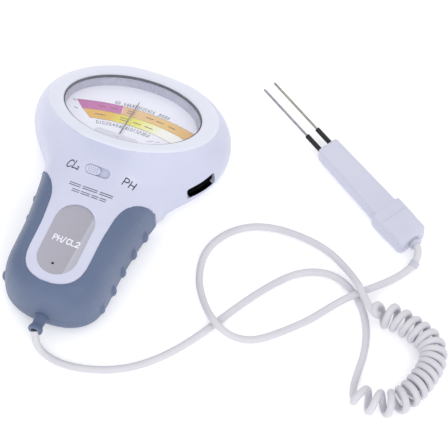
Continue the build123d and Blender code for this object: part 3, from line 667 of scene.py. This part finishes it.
bm = to_mesh(body_p, body_f)
cut(bm, split_co(-0.12), SPLIT_N)
me = bpy.data.meshes.new("cover_rear")
bm.to_mesh(me)
bm.free()
rear = place("cover_rear", me, m_case, "case", 0, ("rear_cover",))
thicken(rear, 2.4)
SCREWS = [(-40.0, 86.0), (40.0, 86.0), (-28.5, 47.0), (28.5, 47.0), (-18.5, -15.0), (18.5, -15.0)]
subtract(rear, [prism(circle(2.8, 28, x, y), (0, 0, 0), (1, 0, 0), (0, 1, 0), (0, 0, 1), -2.0, 3.6) for x, y in SCREWS] +
         [prism(circle(3.65, 36), GL_O, (1, 0, 0), (0, 0, 1), (0, -1, 0), -6.0, 8.0)])
rear.data.shade_smooth()
rear.data.set_sharp_from_angle(angle=math.radians(38))

# ------------------------------------------------------------------ soft grips
NUBS = [(1, 26.0), (1, 14.8), (1, 3.5), (1, -7.9), (1, -19.2), (-1, 26.0), (-1, 14.8), (-1, 3.5), (-1, -7.9), (-1, -19.2)]


def half_width(y):
    return float(np.interp(y, half[:, 1], half[:, 0]))


def f_grip(x, y, z):
    f = f_body(x, y, z) - 0.5
    for s, ny in NUBS:
        ny += 2.6 if s > 0 else 1.4
        hx = half_width(ny) + (-0.3 if ny < -15 else 0.2) + (0.4 if s < 0 else 0.0)
        q = np.sqrt(((x - s * hx) / 2.1) ** 2 + ((y - ny) / 2.1) ** 2 + ((z - 9.5) / 4.6) ** 2)
        f = smin(f, (q - 1) * 2.0, 0.5)
    k = 1 + 0.055 * np.clip((34 - y) / 14, 0, 1)
    f = smax(f, -panel_d(np.where(x < 0, x * k, x), y), 0.9)
    return smax(f, -z, 0.6)


grip_p, grip_f = surface_nets(f_grip, (-36, -38, -2), (36, 50, 37), 0.85, relax=1)
depth = f_body(*grip_p.T) / np.maximum(np.linalg.norm(gradient(f_body, grip_p), axis=1), 1e-3)
deep = depth < -0.9
keep = ~np.all(deep[grip_f], axis=1)
grip_f = grip_f[keep]
used = np.unique(grip_f)
remap = -np.ones(len(grip_p), int)
remap[used] = np.arange(len(used))
grip_p, grip_f = grip_p[used], remap[grip_f]
for name, gap, no, node, hole in (("grip_upper", 0.05, -SPLIT_N, "grip_front", 1), ("grip_lower", -0.05, SPLIT_N, "grip_rear", 1)):
    me = bpy.data.meshes.new(name)
    me.from_pydata((grip_p * MM).tolist(), [], grip_f.tolist())
    bm = bmesh.new()
    bm.from_mesh(me)
    cut(bm, split_co(gap), no)
    bm.normal_update()
    bm.to_mesh(me)
    bm.free()
    g = place(name, me, m_grip, "case", 0, (node,))
    thicken(g, 0.5)
    cutters = [prism(circle(3.7, 36), GL_O, (1, 0, 0), (0, 0, 1), (0, -1, 0), -6.0, 8.0)]
    if node == "grip_rear":
        cutters += [prism(circle(2.8, 28, x, y), (0, 0, 0), (1, 0, 0), (0, 1, 0), (0, 0, 1), -2.0, 3.6) for x, y in SCREWS[4:]]
    subtract(g, cutters)
    g.data.shade_smooth()
    g.data.set_sharp_from_angle(angle=math.radians(50))


# ------------------------------------------------------------------ cable gland: a slim neck with a flared mouth
GP = [(1.95, -1.0), (3.5, -1.0), (3.5, 3.4), (3.3, 4.6), (3.0, 6.2), (2.9, 7.8), (3.1, 8.6), (3.6, 9.4), (3.75, 10.2), (3.7, 10.9), (3.4, 11.3), (1.95, 11.3)]
v, f = [], []
for i in range(48):
    t = 2 * math.pi * i / 48
    v += [(GL_O[0] + r * math.cos(t), GL_O[1] - d, GL_O[2] + r * math.sin(t)) for r, d in GP]
for i in range(48):
    j = (i + 1) % 48
    f += [(i * 12 + k, i * 12 + (k + 1) % 12, j * 12 + (k + 1) % 12, j * 12 + k) for k in range(12)]
make("gland", v, f, m_grip, "case", 30, ("cable_gland",))

# ------------------------------------------------------------------ marks on the face
def surf_z(x, y, lo=22.0, hi=58.0):
    x, y = np.atleast_1d(x).astype(float), np.atleast_1d(y).astype(float)
    a, b = np.full(x.shape, lo), np.full(x.shape, hi)
    for _ in range(26):
        m = (a + b) / 2
        inside = f_cover(x, y, m) < 0
        a = np.where(inside, m, a)
        b = np.where(inside, b, m)
    return (a + b) / 2


GLYPH = {
    "C": [[(1, 1.3), (0.75, 1.57), (0.35, 1.6), (0.08, 1.3), (0, 0.8), (0.08, 0.3), (0.35, 0), (0.75, 0.03), (1, 0.3)]],
    "L": [[(0, 1.6), (0, 0), (0.9, 0)]],
    "P": [[(0, 0), (0, 1.6), (0.65, 1.6), (0.95, 1.38), (0.95, 1.0), (0.65, 0.78), (0, 0.78)]],
    "H": [[(0, 0), (0, 1.6)], [(0, 0.8), (1, 0.8)], [(1, 1.6), (1, 0)]],
    "/": [[(0.05, -0.1), (0.75, 1.7)]],
    "0": [[(0.25, 0), (0.75, 0), (1, 0.35), (1, 1.25), (0.75, 1.6), (0.25, 1.6), (0, 1.25), (0, 0.35), (0.25, 0)]],
    "1": [[(0.2, 1.3), (0.5, 1.6), (0.5, 0)]],
    "2": [[(0.05, 1.3), (0.3, 1.6), (0.75, 1.6), (0.97, 1.25), (0.8, 0.85), (0, 0), (1, 0)]],
    "3": [[(0.05, 1.45), (0.4, 1.6), (0.85, 1.45), (0.85, 1.0), (0.45, 0.82), (0.9, 0.62), (0.9, 0.2), (0.45, 0), (0.05, 0.15)]],
    "4": [[(0.75, 0), (0.75, 1.6), (0, 0.45), (1, 0.45)]],
    "5": [[(0.95, 1.6), (0.15, 1.6), (0.08, 0.9), (0.6, 0.98), (0.97, 0.65), (0.85, 0.12), (0.4, 0), (0.03, 0.15)]],
    "6": [[(0.85, 1.6), (0.3, 1.1), (0.02, 0.5), (0.2, 0.05), (0.7, 0), (0.98, 0.4), (0.75, 0.85), (0.3, 0.85), (0.05, 0.5)]],
    "7": [[(0, 1.6), (1, 1.6), (0.4, 0)]],
    "8": [[(0.5, 0.82), (0.12, 1.1), (0.25, 1.55), (0.75, 1.55), (0.88, 1.1), (0.5, 0.82), (0.05, 0.5), (0.2, 0.03), (0.8, 0.03), (0.95, 0.5), (0.5, 0.82)]],
    ".": [[(0.35, 0), (0.35, 0.12)]],
}


def ribbons(strokes, w):
    """Flat quads in 2-D along each stroke, cut short enough to follow a curved face."""
    # the last number of each point keeps strokes that cross at slightly different heights
    v, f = [], []
    k_seg = 0
    for s in strokes:
        for (x0, y0), (x1, y1) in zip(s, s[1:]):
            dx, dy = x1 - x0, y1 - y0
            ln = math.hypot(dx, dy)
            if ln < 1e-6:
                continue
            ux, uy = dx / ln, dy / ln
            x0a, y0a, x1a, y1a = x0 - ux * w * 0.5, y0 - uy * w * 0.5, x1 + ux * w * 0.5, y1 + uy * w * 0.5
            n = max(1, int(math.ceil((ln + w) / 0.9)))
            k_seg = (k_seg + 1) % 7
            base = len(v)
            for i in range(n + 1):
                t = i / n
                cx, cy = x0a + (x1a - x0a) * t, y0a + (y1a - y0a) * t
                v.append((cx - uy * w / 2, cy + ux * w / 2, k_seg))
                v.append((cx + uy * w / 2, cy - ux * w / 2, k_seg))
            for i in range(n):
                a = base + 2 * i
                f.append((a, a + 1, a + 3, a + 2))
    return v, f


def word(text, x, y, cw, ch, gap, slant=0.0):
    out = []
    for c in text:
        if c == " ":
            x += cw + gap
            continue
        k = 0.45 if c in ".1" else 1.0
        for s in GLYPH[c]:
            out.append([(x + (px * k) * cw + slant * py / 1.6 * ch, y + py / 1.6 * ch) for px, py in s])
        x += cw * k + gap
    return out


def on_face(name, strokes, w, mat, lift=0.07, flat=None, thick=0.05):
    v, f = ribbons(strokes, w)
    v = np.array(v)
    step = v[:, 2] * 0.012
    v = v[:, :2]
    z = surf_z(v[:, 0], v[:, 1]) + lift if flat is None else np.full(len(v), flat)
    top = np.c_[v, z + step]
    low = np.c_[v, z - thick - 0.05]
    n = len(v)
    faces = [tuple(q) for q in f]
    for q in f:
        q2 = [i + n for i in q]
        faces.append(tuple(q2[::-1]))
        for a, b in zip(range(4), (1, 2, 3, 0)):
            faces.append((q[a], q2[a], q2[b], q[b]))
    me = bpy.data.meshes.new(name)
    me.from_pydata((np.vstack([top, low]) * MM).tolist(), [], [tuple(int(i) for i in q) for q in faces])
    o = place(name, me, mat, "case", 20)
    o.data.shade_flat()
    return o


on_face("mark_left", word("CL", -16.6, 37.2, 2.5, 3.0, 0.9, 0.5), 0.42, m_ink)
on_face("mark_left_small", word("2", -10.7, 36.9, 0.95, 1.4, 0.3, 0.15), 0.26, m_ink)
on_face("mark_right", word("PH", 13.6, 37.6, 2.3, 3.1, 1.0, 0.3), 0.45, m_ink)


def bar_line(x, y, widths, gap, dy):
    out = []
    for wd in widths:
        out += [[(x, y + dy), (x + wd, y + dy)], [(x, y), (x + wd, y)]]
        x += wd + gap
    return out


on_face("mark_lines", bar_line(-11.0, 29.2, [5.6, 7.6, 6.6], 1.5, 1.1) + bar_line(-8.4, 26.2, [3.6, 4.6, 3.2, 3.2], 1.1, 1.1), 0.34, m_ink2)
on_face("label_mark", word("PH/CL2", -6.2, -2.2, 1.75, 2.9, 0.62, 0.0), 0.55, m_ink3, flat=34.2, thick=0.08)

# ------------------------------------------------------------------ bezel, surround and printed dial
NB = 192


def rim_radius(h):
    """Where the body's own side is, in each direction from the middle of the window, at a height over the window."""
    ang = 2 * np.pi * np.arange(NB) / NB
    lo, hi = np.full(NB, 38.0), np.full(NB, 52.0)
    for _ in range(24):
        m = (lo + hi) / 2
        q = np.array([win(float(r) * math.cos(t), float(r) * math.sin(t), h) for r, t in zip(m, ang)])
        inside = f_cover(*q.T) < 0
        lo, hi = np.where(inside, m, lo), np.where(inside, hi, m)
    r = (lo + hi) / 2
    k = np.ones(9) / 9
    return np.convolve(np.r_[r[-4:], r, r[:4]], k, "valid")


rim = rim_radius(-1.5)
prof = [(35.2, -2.0), (35.2, -0.8), (35.4, -0.4), (35.9, -0.12), (36.8, 0.04), (38.0, 0.06), (39.2, -0.06)]
tail = [(0.45, -0.3), (0.72, -0.58), (0.9, -0.95), (1.0, -1.36), (1.0, -1.48)]
under = [(39.85, -1.48), (39.85, -4.2), (36.6, -4.2), (36.6, -2.0)]
v, f = [], []
n_p = len(prof) + len(tail) + len(under)
for i in range(NB):
    t = 2 * math.pi * i / NB
    ring = prof + [(39.2 + (rim[i] - 39.2) * k, h) for k, h in tail] + under
    v += [win(r * math.cos(t), r * math.sin(t), h) for r, h in ring]
for i in range(NB):
    j = (i + 1) % NB
    for k in range(n_p):
        k2 = (k + 1) % n_p
        f.append((i * n_p + k, j * n_p + k, j * n_p + k2, i * n_p + k2))
make("bezel", v, f, m_bezel, "case", 30, ("bezel_ring",))

v, f = [], []
N = 720
for i in range(N):
    a = 2 * math.pi * i / N
    r = 34.0 - (0.34 if i % 4 in (0, 1) else 0.0)
    for rr, h in ((r + 0.75, -2.05), (r, -6.15), (36.3, -6.15), (36.3, -2.05)):
        v.append(win(rr * math.cos(a), rr * math.sin(a), h))
for i in range(N):
    j = (i + 1) % N
    for k in range(4):
        k2 = (k + 1) % 4
        f.append((i * 4 + k, j * 4 + k, j * 4 + k2, i * 4 + k2))
make("surround", v, f, m_surround, "case", 20, ("dial_surround",))


def x_ramp(name, stops, x0, x1):
    """Printed colour that runs across the dial: its stops are at millimetres of x."""
    m = Mat(name, 0.6, spec=0.25)
    sep = m.node("ShaderNodeSeparateXYZ")
    m.link(m.co, sep.inputs[0])
    base = m.ramp(m.span(sep.outputs["X"], 0, 1, x0 * MM, x1 * MM), [((x - x0) / (x1 - x0), lin(c)) for x, c in stops])
    mx = m.node("ShaderNodeMix", data_type="RGBA", blend_type="MULTIPLY")
    mx.inputs[0].default_value = 1.0
    m.link(base, mx.inputs[6])
    m.link(m.ramp(m.noise(1.5, 4), [(0.3, (0.95, 0.95, 0.95)), (0.7, (1, 1, 1))]), mx.inputs[7])
    m.link(mx.outputs[2], m.b.inputs["Base Color"])
    m.roughen(0.52, 0.66, 1.0).grain(5.0, 0.06, 0.01)
    return m.m


DC = (6.5, -58.0)
ZP = DIAL_TOP + 0.04


def polar(r, deg):
    a = math.radians(deg)
    return DC[0] + r * math.cos(a), DC[1] + r * math.sin(a)


def left_deg(r):
    return float(np.interp(r, [50.9, 60, 69], [118.3, 120.8, 121.8]))


def right_deg(r, lim=33.2):
    d = 100.0
    while d > 50 and math.hypot(*polar(r, d)) < lim:
        d -= 0.1
    return d


def plate(name, pts, faces, mat, h=ZP, t=0.03):
    n = len(pts)
    rise = [0.004 * (p[2] if len(p) > 2 else 0) for p in pts]
    v = [win(p[0], p[1], h + k) for p, k in zip(pts, rise)] + [win(p[0], p[1], h - t) for p in pts]
    edge = {}
    for q in faces:
        for a, b in zip(q, q[1:] + q[:1]):
            key = (min(a, b), max(a, b))
            edge[key] = None if key in edge else (a, b)
    fs = list(faces) + [tuple(i + n for i in q[::-1]) for q in faces]
    fs += [(a, b, b + n, a + n) for a, b in (e for e in edge.values() if e)]
    return make(name, v, fs, mat, "case", 20)


def band(name, r0, r1, d0, d1, mat, cols=40, rows=4):
    """d0 and d1 are functions of the radius: the band's left and right ends."""
    pts, faces = [], []
    for j in range(rows + 1):
        r = r0 + (r1 - r0) * j / rows
        a, b = d0(r), d1(r)
        for i in range(cols + 1):
            pts.append(polar(r, a + (b - a) * i / cols))
    for j in range(rows):
        for i in range(cols):
            q = j * (cols + 1) + i
            faces.append((q, q + 1, q + cols + 2, q + cols + 1))
    return plate(name, pts, faces, mat)


m_pink = x_ramp("print_pink", [(-30, (184, 88, 160)), (-16, (194, 92, 168)), (-7, (190, 96, 170))], -30, -7)
m_orange = x_ramp("print_orange", [(-7, (226, 178, 140)), (2, (230, 192, 134)), (16, (232, 192, 108)), (32, (230, 178, 92))], -7, 32)
m_yellow = x_ramp("print_yellow", [(-24, (226, 172, 70)), (-9, (228, 184, 54)), (-5, (230, 214, 52)), (4, (234, 230, 92)), (11, (240, 240, 176)),
                                   (18, (248, 248, 240)), (30, (250, 250, 252))], -24, 30)
m_line = Mat("print_line", 0.55, spec=0.3).colour((150, 118, 104), (130, 100, 92), 0.8).roughen(0.45, 0.6, 2.0).grain(6.0, 0.1, 0.01).m
band("print_acid", 60.0, 69.0, left_deg, lambda r: 101.9, m_pink)
band("print_alkaline", 60.0, 69.0, lambda r: 101.7, right_deg, m_orange)
band("print_chlorine", 50.9, 59.9, left_deg, right_deg, m_yellow, 60)
for nm, r in (("a", 69.0), ("b", 59.95), ("c", 50.8)):
    a, b = left_deg(r), right_deg(r, 33.4)
    pts, faces = [], []
    for i in range(81):
        d = a + (b - a) * i / 80
        pts += [polar(r - 0.14, d), polar(r + 0.14, d)]
    faces = [(2 * i, 2 * i + 2, 2 * i + 3, 2 * i + 1) for i in range(80)]
    plate("print_line_" + nm, pts, faces, m_line, ZP + 0.02)


def on_dial(name, strokes, w, mat, h=ZP + 0.03, clip=33.0):
    v, f = ribbons(strokes, w)
    ok = [q for q in f if all(math.hypot(*v[i][:2]) < clip for i in q)]
    return plate(name, v, ok, mat, h, 0.03)


def along(text, r, deg, cw, ch, gap):
    """Characters that stand upright on the arc of radius r, centred at an angle."""
    wd = sum(cw * (0.45 if c in ".1" else 1) + gap for c in text) - gap
    a = math.radians(deg)
    ox, oy = polar(r, deg)
    rx, ry = math.sin(a), -math.cos(a)
    return [[(ox + px * rx + py * math.cos(a), oy + px * ry + py * math.sin(a)) for px, py in s]
            for s in word(text, -wd / 2, 0, cw, ch, gap)]


st = []
for t, d in zip(("6.0", "6.6", "6.8", "7.0", "7.2", "7.4", "7.6", "8.0", "8.4"), (104.6, 101.0, 98.8, 96.6, 94.4, 92.2, 90.0, 86.0, 83.4)):
    st += along(t, 70.4, d, 0.74, 2.9, 0.26)
for t, d in zip(("0.1", "0.2", "0.4", "0.6", "0.8", "1.0", "1.5", "2.0", "3.0"), (113.2, 109.2, 105.0, 100.8, 97.0, 93.4, 89.8, 86.2, 82.6)):
    st += along(t, 45.7, d, 0.85, 3.0, 0.3)
on_dial("print_numbers", st, 0.25, m_ink2)
st = []
for d in (104.4, 102.4, 100.4, 99.0, 97.6, 96.2, 94.9, 93.2, 91.6, 90.2, 88.9, 86.8, 84.6, 82.9, 81.2, 78, 75):
    st.append([polar(69.0, d), polar(69.9, d)])
for d in (113.2, 111.2, 109.2, 107.1, 105.0, 102.9, 100.8, 98.9, 97.0, 95.2, 93.4, 91.6, 89.8, 88.0, 86.2, 84.4, 82.6):
    st.append([polar(50.9, d), polar(50.0, d)])
on_dial("print_ticks", st, 0.18, m_ink2)
m_word = Mat("print_words", 0.55, spec=0.3).colour((104, 72, 66), (90, 62, 58), 0.8).roughen(0.45, 0.6, 2.0).grain(6.0, 0.1, 0.01).m


def dashes(r, d0, lengths, gap=0.5):
    out = []
    for ln in lengths:
        n = 4
        out.append([polar(r, d0 - math.degrees(ln / r) * i / n) for i in range(n + 1)])
        d0 -= math.degrees((ln + gap) / r)
    return out


st = dashes(64.4, 112.6, [1.5, 1.1]) + dashes(64.4, 107.3, [1.6, 1.2]) + dashes(65.6, 99.3, [1.2, 1.6]) + dashes(63.2, 99.3, [1.6, 1.0])
st += dashes(64.6, 90.5, [1.4, 1.7]) + dashes(64.4, 85.2, [1.6, 1.2]) + dashes(64.2, 79.0, [1.3, 1.6]) + dashes(55.4, 114.6, [2.0, 2.4])
st += dashes(56.6, 101.4, [1.4, 1.8]) + dashes(54.2, 101.2, [2.0, 1.2]) + dashes(55.0, 94.0, [1.6, 1.4]) + dashes(55.0, 87.5, [1.8, 1.4])
on_dial("print_words", st, 0.68, m_word)
on_dial("print_units", [[(-31.2, -0.6), (-29.9, -0.9)], [(-27.6, -7.9), (-26.2, -8.3)]], 0.6, m_ink2, clip=33.6)
on_dial("print_foot", [[(17.6, -14.2), (14.8, -17.2)], [(20.5, -13.2), (18.9, -15.0)]], 0.2, m_ink2)

# ------------------------------------------------------------------ probe shells
PA = math.radians(150.2)
PU, PV = np.array([math.cos(PA), math.sin(PA), 0.0]), np.array([-math.sin(PA), math.cos(PA), 0.0])
PR0 = np.array([152.6, 79.05, 0.0])


def box_d(px, py, pz, hx, hy, hz, r):
    qx, qy, qz = np.abs(px) - hx + r, np.abs(py) - hy + r, np.abs(pz) - hz + r
    out = np.sqrt(np.maximum(qx, 0) ** 2 + np.maximum(qy, 0) ** 2 + np.maximum(qz, 0) ** 2)
    return out + np.minimum(np.maximum(qx, np.maximum(qy, qz)), 0) - r


def f_probe(u, v, w):
    hv = 7.0 - 0.9 * np.clip((u - 22) / 47, 0, 1)
    bar = box_d(u - 43.5, v * 7.0 / hv, w - 5.85, 25.5, 7.0, 5.0, 2.0)
    rear_part = box_d(u - 8.4, v, w - 5.9, 8.4, 8.6, 5.9, 2.6)
    front_part = box_d(u - 16.0, v, w - 5.7, 6.5, 8.6, 5.4, 1.2)
    f = smin(rear_part, front_part, 0.25)
    f = smin(f, bar, 0.5)
    return smax(f, 0.05 - w, 0.4)


pp, pf = surface_nets(f_probe, (-3, -12, -2), (72, 12, 15), 0.55, relax=1)
pp = PR0 + pp[:, :1] * PU + pp[:, 1:2] * PV + pp[:, 2:] * np.array([0, 0, 1.0])
for name, no, gap, node in (("probe_upper", -1, 0.04, "probe_shell_top"), ("probe_lower", 1, -0.04, "probe_shell_bottom")):
    bm = to_mesh(pp, pf)
    cut(bm, (0, 0, 6 + gap), Vector((0, 0, no)))
    me = bpy.data.meshes.new(name)
    bm.to_mesh(me)
    bm.free()
    p = place(name, me, m_probe, "case", 0, (node,))
    thicken(p, 1.1)
    holes = [prism(circle(2.65, 36), tuple(PR0 + np.array([0, 0, 6.0])), tuple(PV), (0, 0, 1), tuple(PU), -3.0, 3.4)]
    end = PR0 + PU * 69.0 + np.array([0, 0, 6.0])
    for sgn in (-1, 1):
        holes.append(prism(circle(1.28, 28), tuple(end + PV * sgn * 3.25), tuple(PV), (0, 0, 1), tuple(PU), -5.0, 4.0))
    subtract(p, holes)
    p.data.shade_smooth()
    p.data.set_sharp_from_angle(angle=math.radians(42))

# ------------------------------------------------------------------ cord
LEAD_A = [(0.4, -41.2, 11.0), (1.9, -44.2, 8.2), (4.4, -45.9, 3.4), (11.0, -47.9, 1.75), (20.0, -48.6, 1.75),
          (32.7, -46.0, 1.75), (46.1, -40.1, 1.75), (57.1, -31.2, 1.75), (66.7, -19.8, 1.75), (75.2, -5.9, 1.75),
          (85.1, 13.9, 1.75), (95.3, 30.9, 1.75), (105.0, 42.7, 1.75), (117.6, 48.5, 1.75), (130.1, 46.5, 1.75),
          (141.1, 38.2, 1.75), (148.7, 25.9, 1.75), (152.4, 13.0, 1.75), (153.0, 2.0, 1.75), (153.9, -6.0, 2.2),
          (155.6, -11.4, 4.2)]
LEAD_B = [(152.2, 32.4, 6.5), (148.4, 33.2, 8.6), (143.2, 37.2, 10.0), (136.9, 44.0, 10.0), (127.8, 52.2, 5.0),
          (115.1, 60.3, 1.75), (100.7, 62.7, 1.75), (85.7, 62.5, 1.75), (72.4, 58.1, 1.75), (62.3, 48.3, 1.75),
          (57.7, 35.4, 1.75), (61.3, 19.6, 1.75), (69.1, 8.5, 3.2), (75.3, 1.6, 6.0), (82.2, -2.8, 6.0),
          (90.4, -3.5, 2.6), (100.1, -0.7, 1.75), (110.5, 8.9, 1.75), (120.4, 20.0, 1.75), (127.8, 30.6, 3.2),
          (133.8, 36.7, 6.0), (139.3, 42.9, 6.0), (145.7, 51.6, 2.4), (152.5, 60.0, 1.75), (156.9, 67.6, 2.2),
          (157.6, 73.6, 4.4), (155.9, 77.2, 6.0), (152.9, 78.9, 6.0)]
COIL = [(156.4, -12.7), (164.4, -12.9), (171.6, -11.6), (177.0, -8.4), (180.6, -3.4), (182.8, 2.6),
        (184.3, 8.0), (185.6, 15.6), (185.1, 21.8), (182.4, 26.8), (178.2, 29.9), (171.8, 31.8), (163.7, 34.0),
        (157.2, 35.0), (151.8, 33.6)]
ROUTE = LEAD_A + [(x, y, 7.0) for x, y in COIL] + LEAD_B
CORD_R, COIL_R, TURNS = 1.85, 5.2, 17.5

cu = bpy.data.curves.new("route", "CURVE")
cu.dimensions = "3D"
sp = cu.splines.new("NURBS")
sp.points.add(len(ROUTE) - 1)
for pt, q in zip(sp.points, ROUTE):
    pt.co = (q[0] * MM, q[1] * MM, q[2] * MM, 1)
sp.order_u = 3
sp.use_endpoint_u = True
sp.resolution_u = 24
cu.resolution_u = 24
tmp = bpy.data.objects.new("route", cu)
scene.collection.objects.link(tmp)
bpy.context.view_layer.update()
line_me = bpy.data.meshes.new_from_object(tmp)
line = np.array([v.co[:] for v in line_me.vertices]) / MM
bpy.data.objects.remove(tmp)
bpy.data.curves.remove(cu)
bpy.data.meshes.remove(line_me)


def arc(p):
    return np.concatenate([[0], np.cumsum(np.linalg.norm(np.diff(p, axis=0), axis=1))])


def sample(p, s):
    a = arc(p)
    return np.stack([np.interp(s, a, p[:, k]) for k in range(3)], 1)


al = arc(line)
axis_a = np.array([COIL[0][0], COIL[0][1], 7.0])
axis_b = np.array([COIL[-1][0], COIL[-1][1], 7.0])
i_a = int(np.argmin(np.linalg.norm(line - axis_a, axis=1)))
i_b = int(np.argmin(np.linalg.norm(line - axis_b, axis=1)))
s_a, s_b = al[i_a] - 1.0, al[i_b] + 1.0
s_all = np.concatenate([np.arange(0, s_a, 0.9), np.linspace(s_a, s_b, 1600), np.arange(s_b + 0.9, al[-1], 0.9), [al[-1]]])
base = sample(line, s_all)
tan = np.gradient(base, axis=0)
tan /= np.linalg.norm(tan, axis=1, keepdims=True)
u = (s_all - s_a) / (s_b - s_a)
inside = (u >= 0) & (u <= 1)
uc = np.clip(u, 0, 1)
# pitch: open where the turns start and end, tight in the middle
knots_u = np.linspace(0, 1, 400)
rate = 0.60 + 0.25 * knots_u + 0.65 * np.exp(-((knots_u - 0.52) / 0.26) ** 2)
phase_tab = np.concatenate([[0], np.cumsum((rate[1:] + rate[:-1]) / 2 * np.diff(knots_u))])
phase = np.interp(uc, knots_u, phase_tab / phase_tab[-1]) * TURNS * 2 * math.pi
ramp = np.clip(np.minimum(uc / 0.04, (1 - uc) / 0.013), 0, 1)
ramp = ramp * ramp * (3 - 2 * ramp)
rad = COIL_R * ramp * inside
up = np.array([0, 0, 1.0])
side = np.cross(tan, up)
side /= np.linalg.norm(side, axis=1, keepdims=True)
vert = np.cross(side, tan)
HAND, PH0 = 1.0, -math.pi / 2
path = base + rad[:, None] * (np.cos(HAND * phase + PH0)[:, None] * side + np.sin(HAND * phase + PH0)[:, None] * vert)
path[:, 2] = np.maximum(path[:, 2], CORD_R + 0.05)
# even steps along the finished path
ap = arc(path)
path = sample(path, np.linspace(0, ap[-1], int(ap[-1] / 0.85)))
for _ in range(2):
    path[1:-1] = 0.25 * path[:-2] + 0.5 * path[1:-1] + 0.25 * path[2:]
ap = arc(path)


def tube(path, radius, sides=14):
    t = np.gradient(path, axis=0)
    t /= np.linalg.norm(t, axis=1, keepdims=True)
    n = np.cross(t[0], [0, 0, 1.0])
    n = n / np.linalg.norm(n) if np.linalg.norm(n) > 1e-3 else np.array([1.0, 0, 0])
    ring_v = []
    for i in range(len(path)):
        n = n - t[i] * np.dot(n, t[i])
        n /= np.linalg.norm(n)
        b = np.cross(t[i], n)
        ang = 2 * np.pi * np.arange(sides) / sides
        ring_v.append(path[i] + radius * (np.cos(ang)[:, None] * n + np.sin(ang)[:, None] * b))
    v = np.vstack(ring_v)
    f = []
    for i in range(len(path) - 1):
        for k in range(sides):
            k2 = (k + 1) % sides
            f.append((i * sides + k, i * sides + k2, (i + 1) * sides + k2, (i + 1) * sides + k))
    f.append(tuple(range(sides))[::-1])
    f.append(tuple((len(path) - 1) * sides + k for k in range(sides)))
    return v, f


v, f = tube(path, CORD_R)
cord = make("cord", v, f, m_cord, "case", 40, ("cord_lead_gland", "cord_coil", "cord_lead_probe"))
print("cord length mm", round(float(ap[-1]), 1), "turn phase", TURNS)

# ------------------------------------------------------------------ stage, light, camera
floor_m = Mat("floor_pale", 0.7, spec=0.1)
floor_m.colour((246, 246, 248), (243, 243, 246), 0.002).roughen(0.65, 0.8, 0.02).grain(0.4, 0.05, 0.05)
floor_m.b.inputs["Emission Color"].default_value = (1.0, 1.0, 1.0, 1)
floor_m.b.inputs["Emission Strength"].default_value = 0.22
me = bpy.data.meshes.new("floor")
S_F = 2.6
me.from_pydata([(-S_F, -S_F, 0), (S_F, -S_F, 0), (S_F, S_F, 0), (-S_F, S_F, 0)], [], [(0, 1, 2, 3)])
me.materials.append(floor_m.m)
floor = bpy.data.objects.new("floor", me)
scene.collection.objects.link(floor)
floor.location = (0.06, 0.05, -0.0004)

world = bpy.data.worlds.new("studio")
scene.world = world
world.use_nodes = True
bg = world.node_tree.nodes["Background"]
bg.inputs[0].default_value = (1.0, 1.0, 1.0, 1)
bg.inputs[1].default_value = 0.98


def area(name, loc, target, size, power, colour=(1, 1, 1)):
    l = bpy.data.lights.new(name, "AREA")
    l.shape = "DISK"
    l.size = size
    l.energy = power
    l.color = colour
    o = bpy.data.objects.new(name, l)
    scene.collection.objects.link(o)
    o.location = loc
    o.rotation_euler = (Vector(target) - Vector(loc)).to_track_quat("-Z", "Y").to_euler()
    return o


area("key", (-0.35, 0.55, 1.25), (0.03, 0.05, 0), 0.6, 1.2, (1.0, 0.995, 0.985))
area("fill", (0.75, -1.05, 0.95), (0.02, 0.04, 0.02), 0.8, 5.5, (0.98, 0.985, 1.0))

cam_d = bpy.data.cameras.new("camera")
cam_d.sensor_width = 36.0
cam_d.lens = 257.14
cam_d.clip_start = 0.05
cam_d.clip_end = 20
cam = bpy.data.objects.new("camera", cam_d)
scene.collection.objects.link(cam)
TH, EL = math.radians(-22.43), math.radians(60)
r_ = Vector((math.cos(TH), -math.sin(TH), 0))
fwd = Vector((math.sin(TH), math.cos(TH), 0))
back = -math.cos(EL) * fwd + math.sin(EL) * Vector((0, 0, 1))
up_ = math.sin(EL) * fwd + math.cos(EL) * Vector((0, 0, 1))
target = Vector((0.0613, 0.0535, 0.004))
cam.matrix_world = Matrix.Translation(target + 1.6 * back) @ Matrix((r_, up_, back)).transposed().to_4x4()
scene.camera = cam
scene.view_settings.view_transform = "Standard"
scene.view_settings.look = "None"
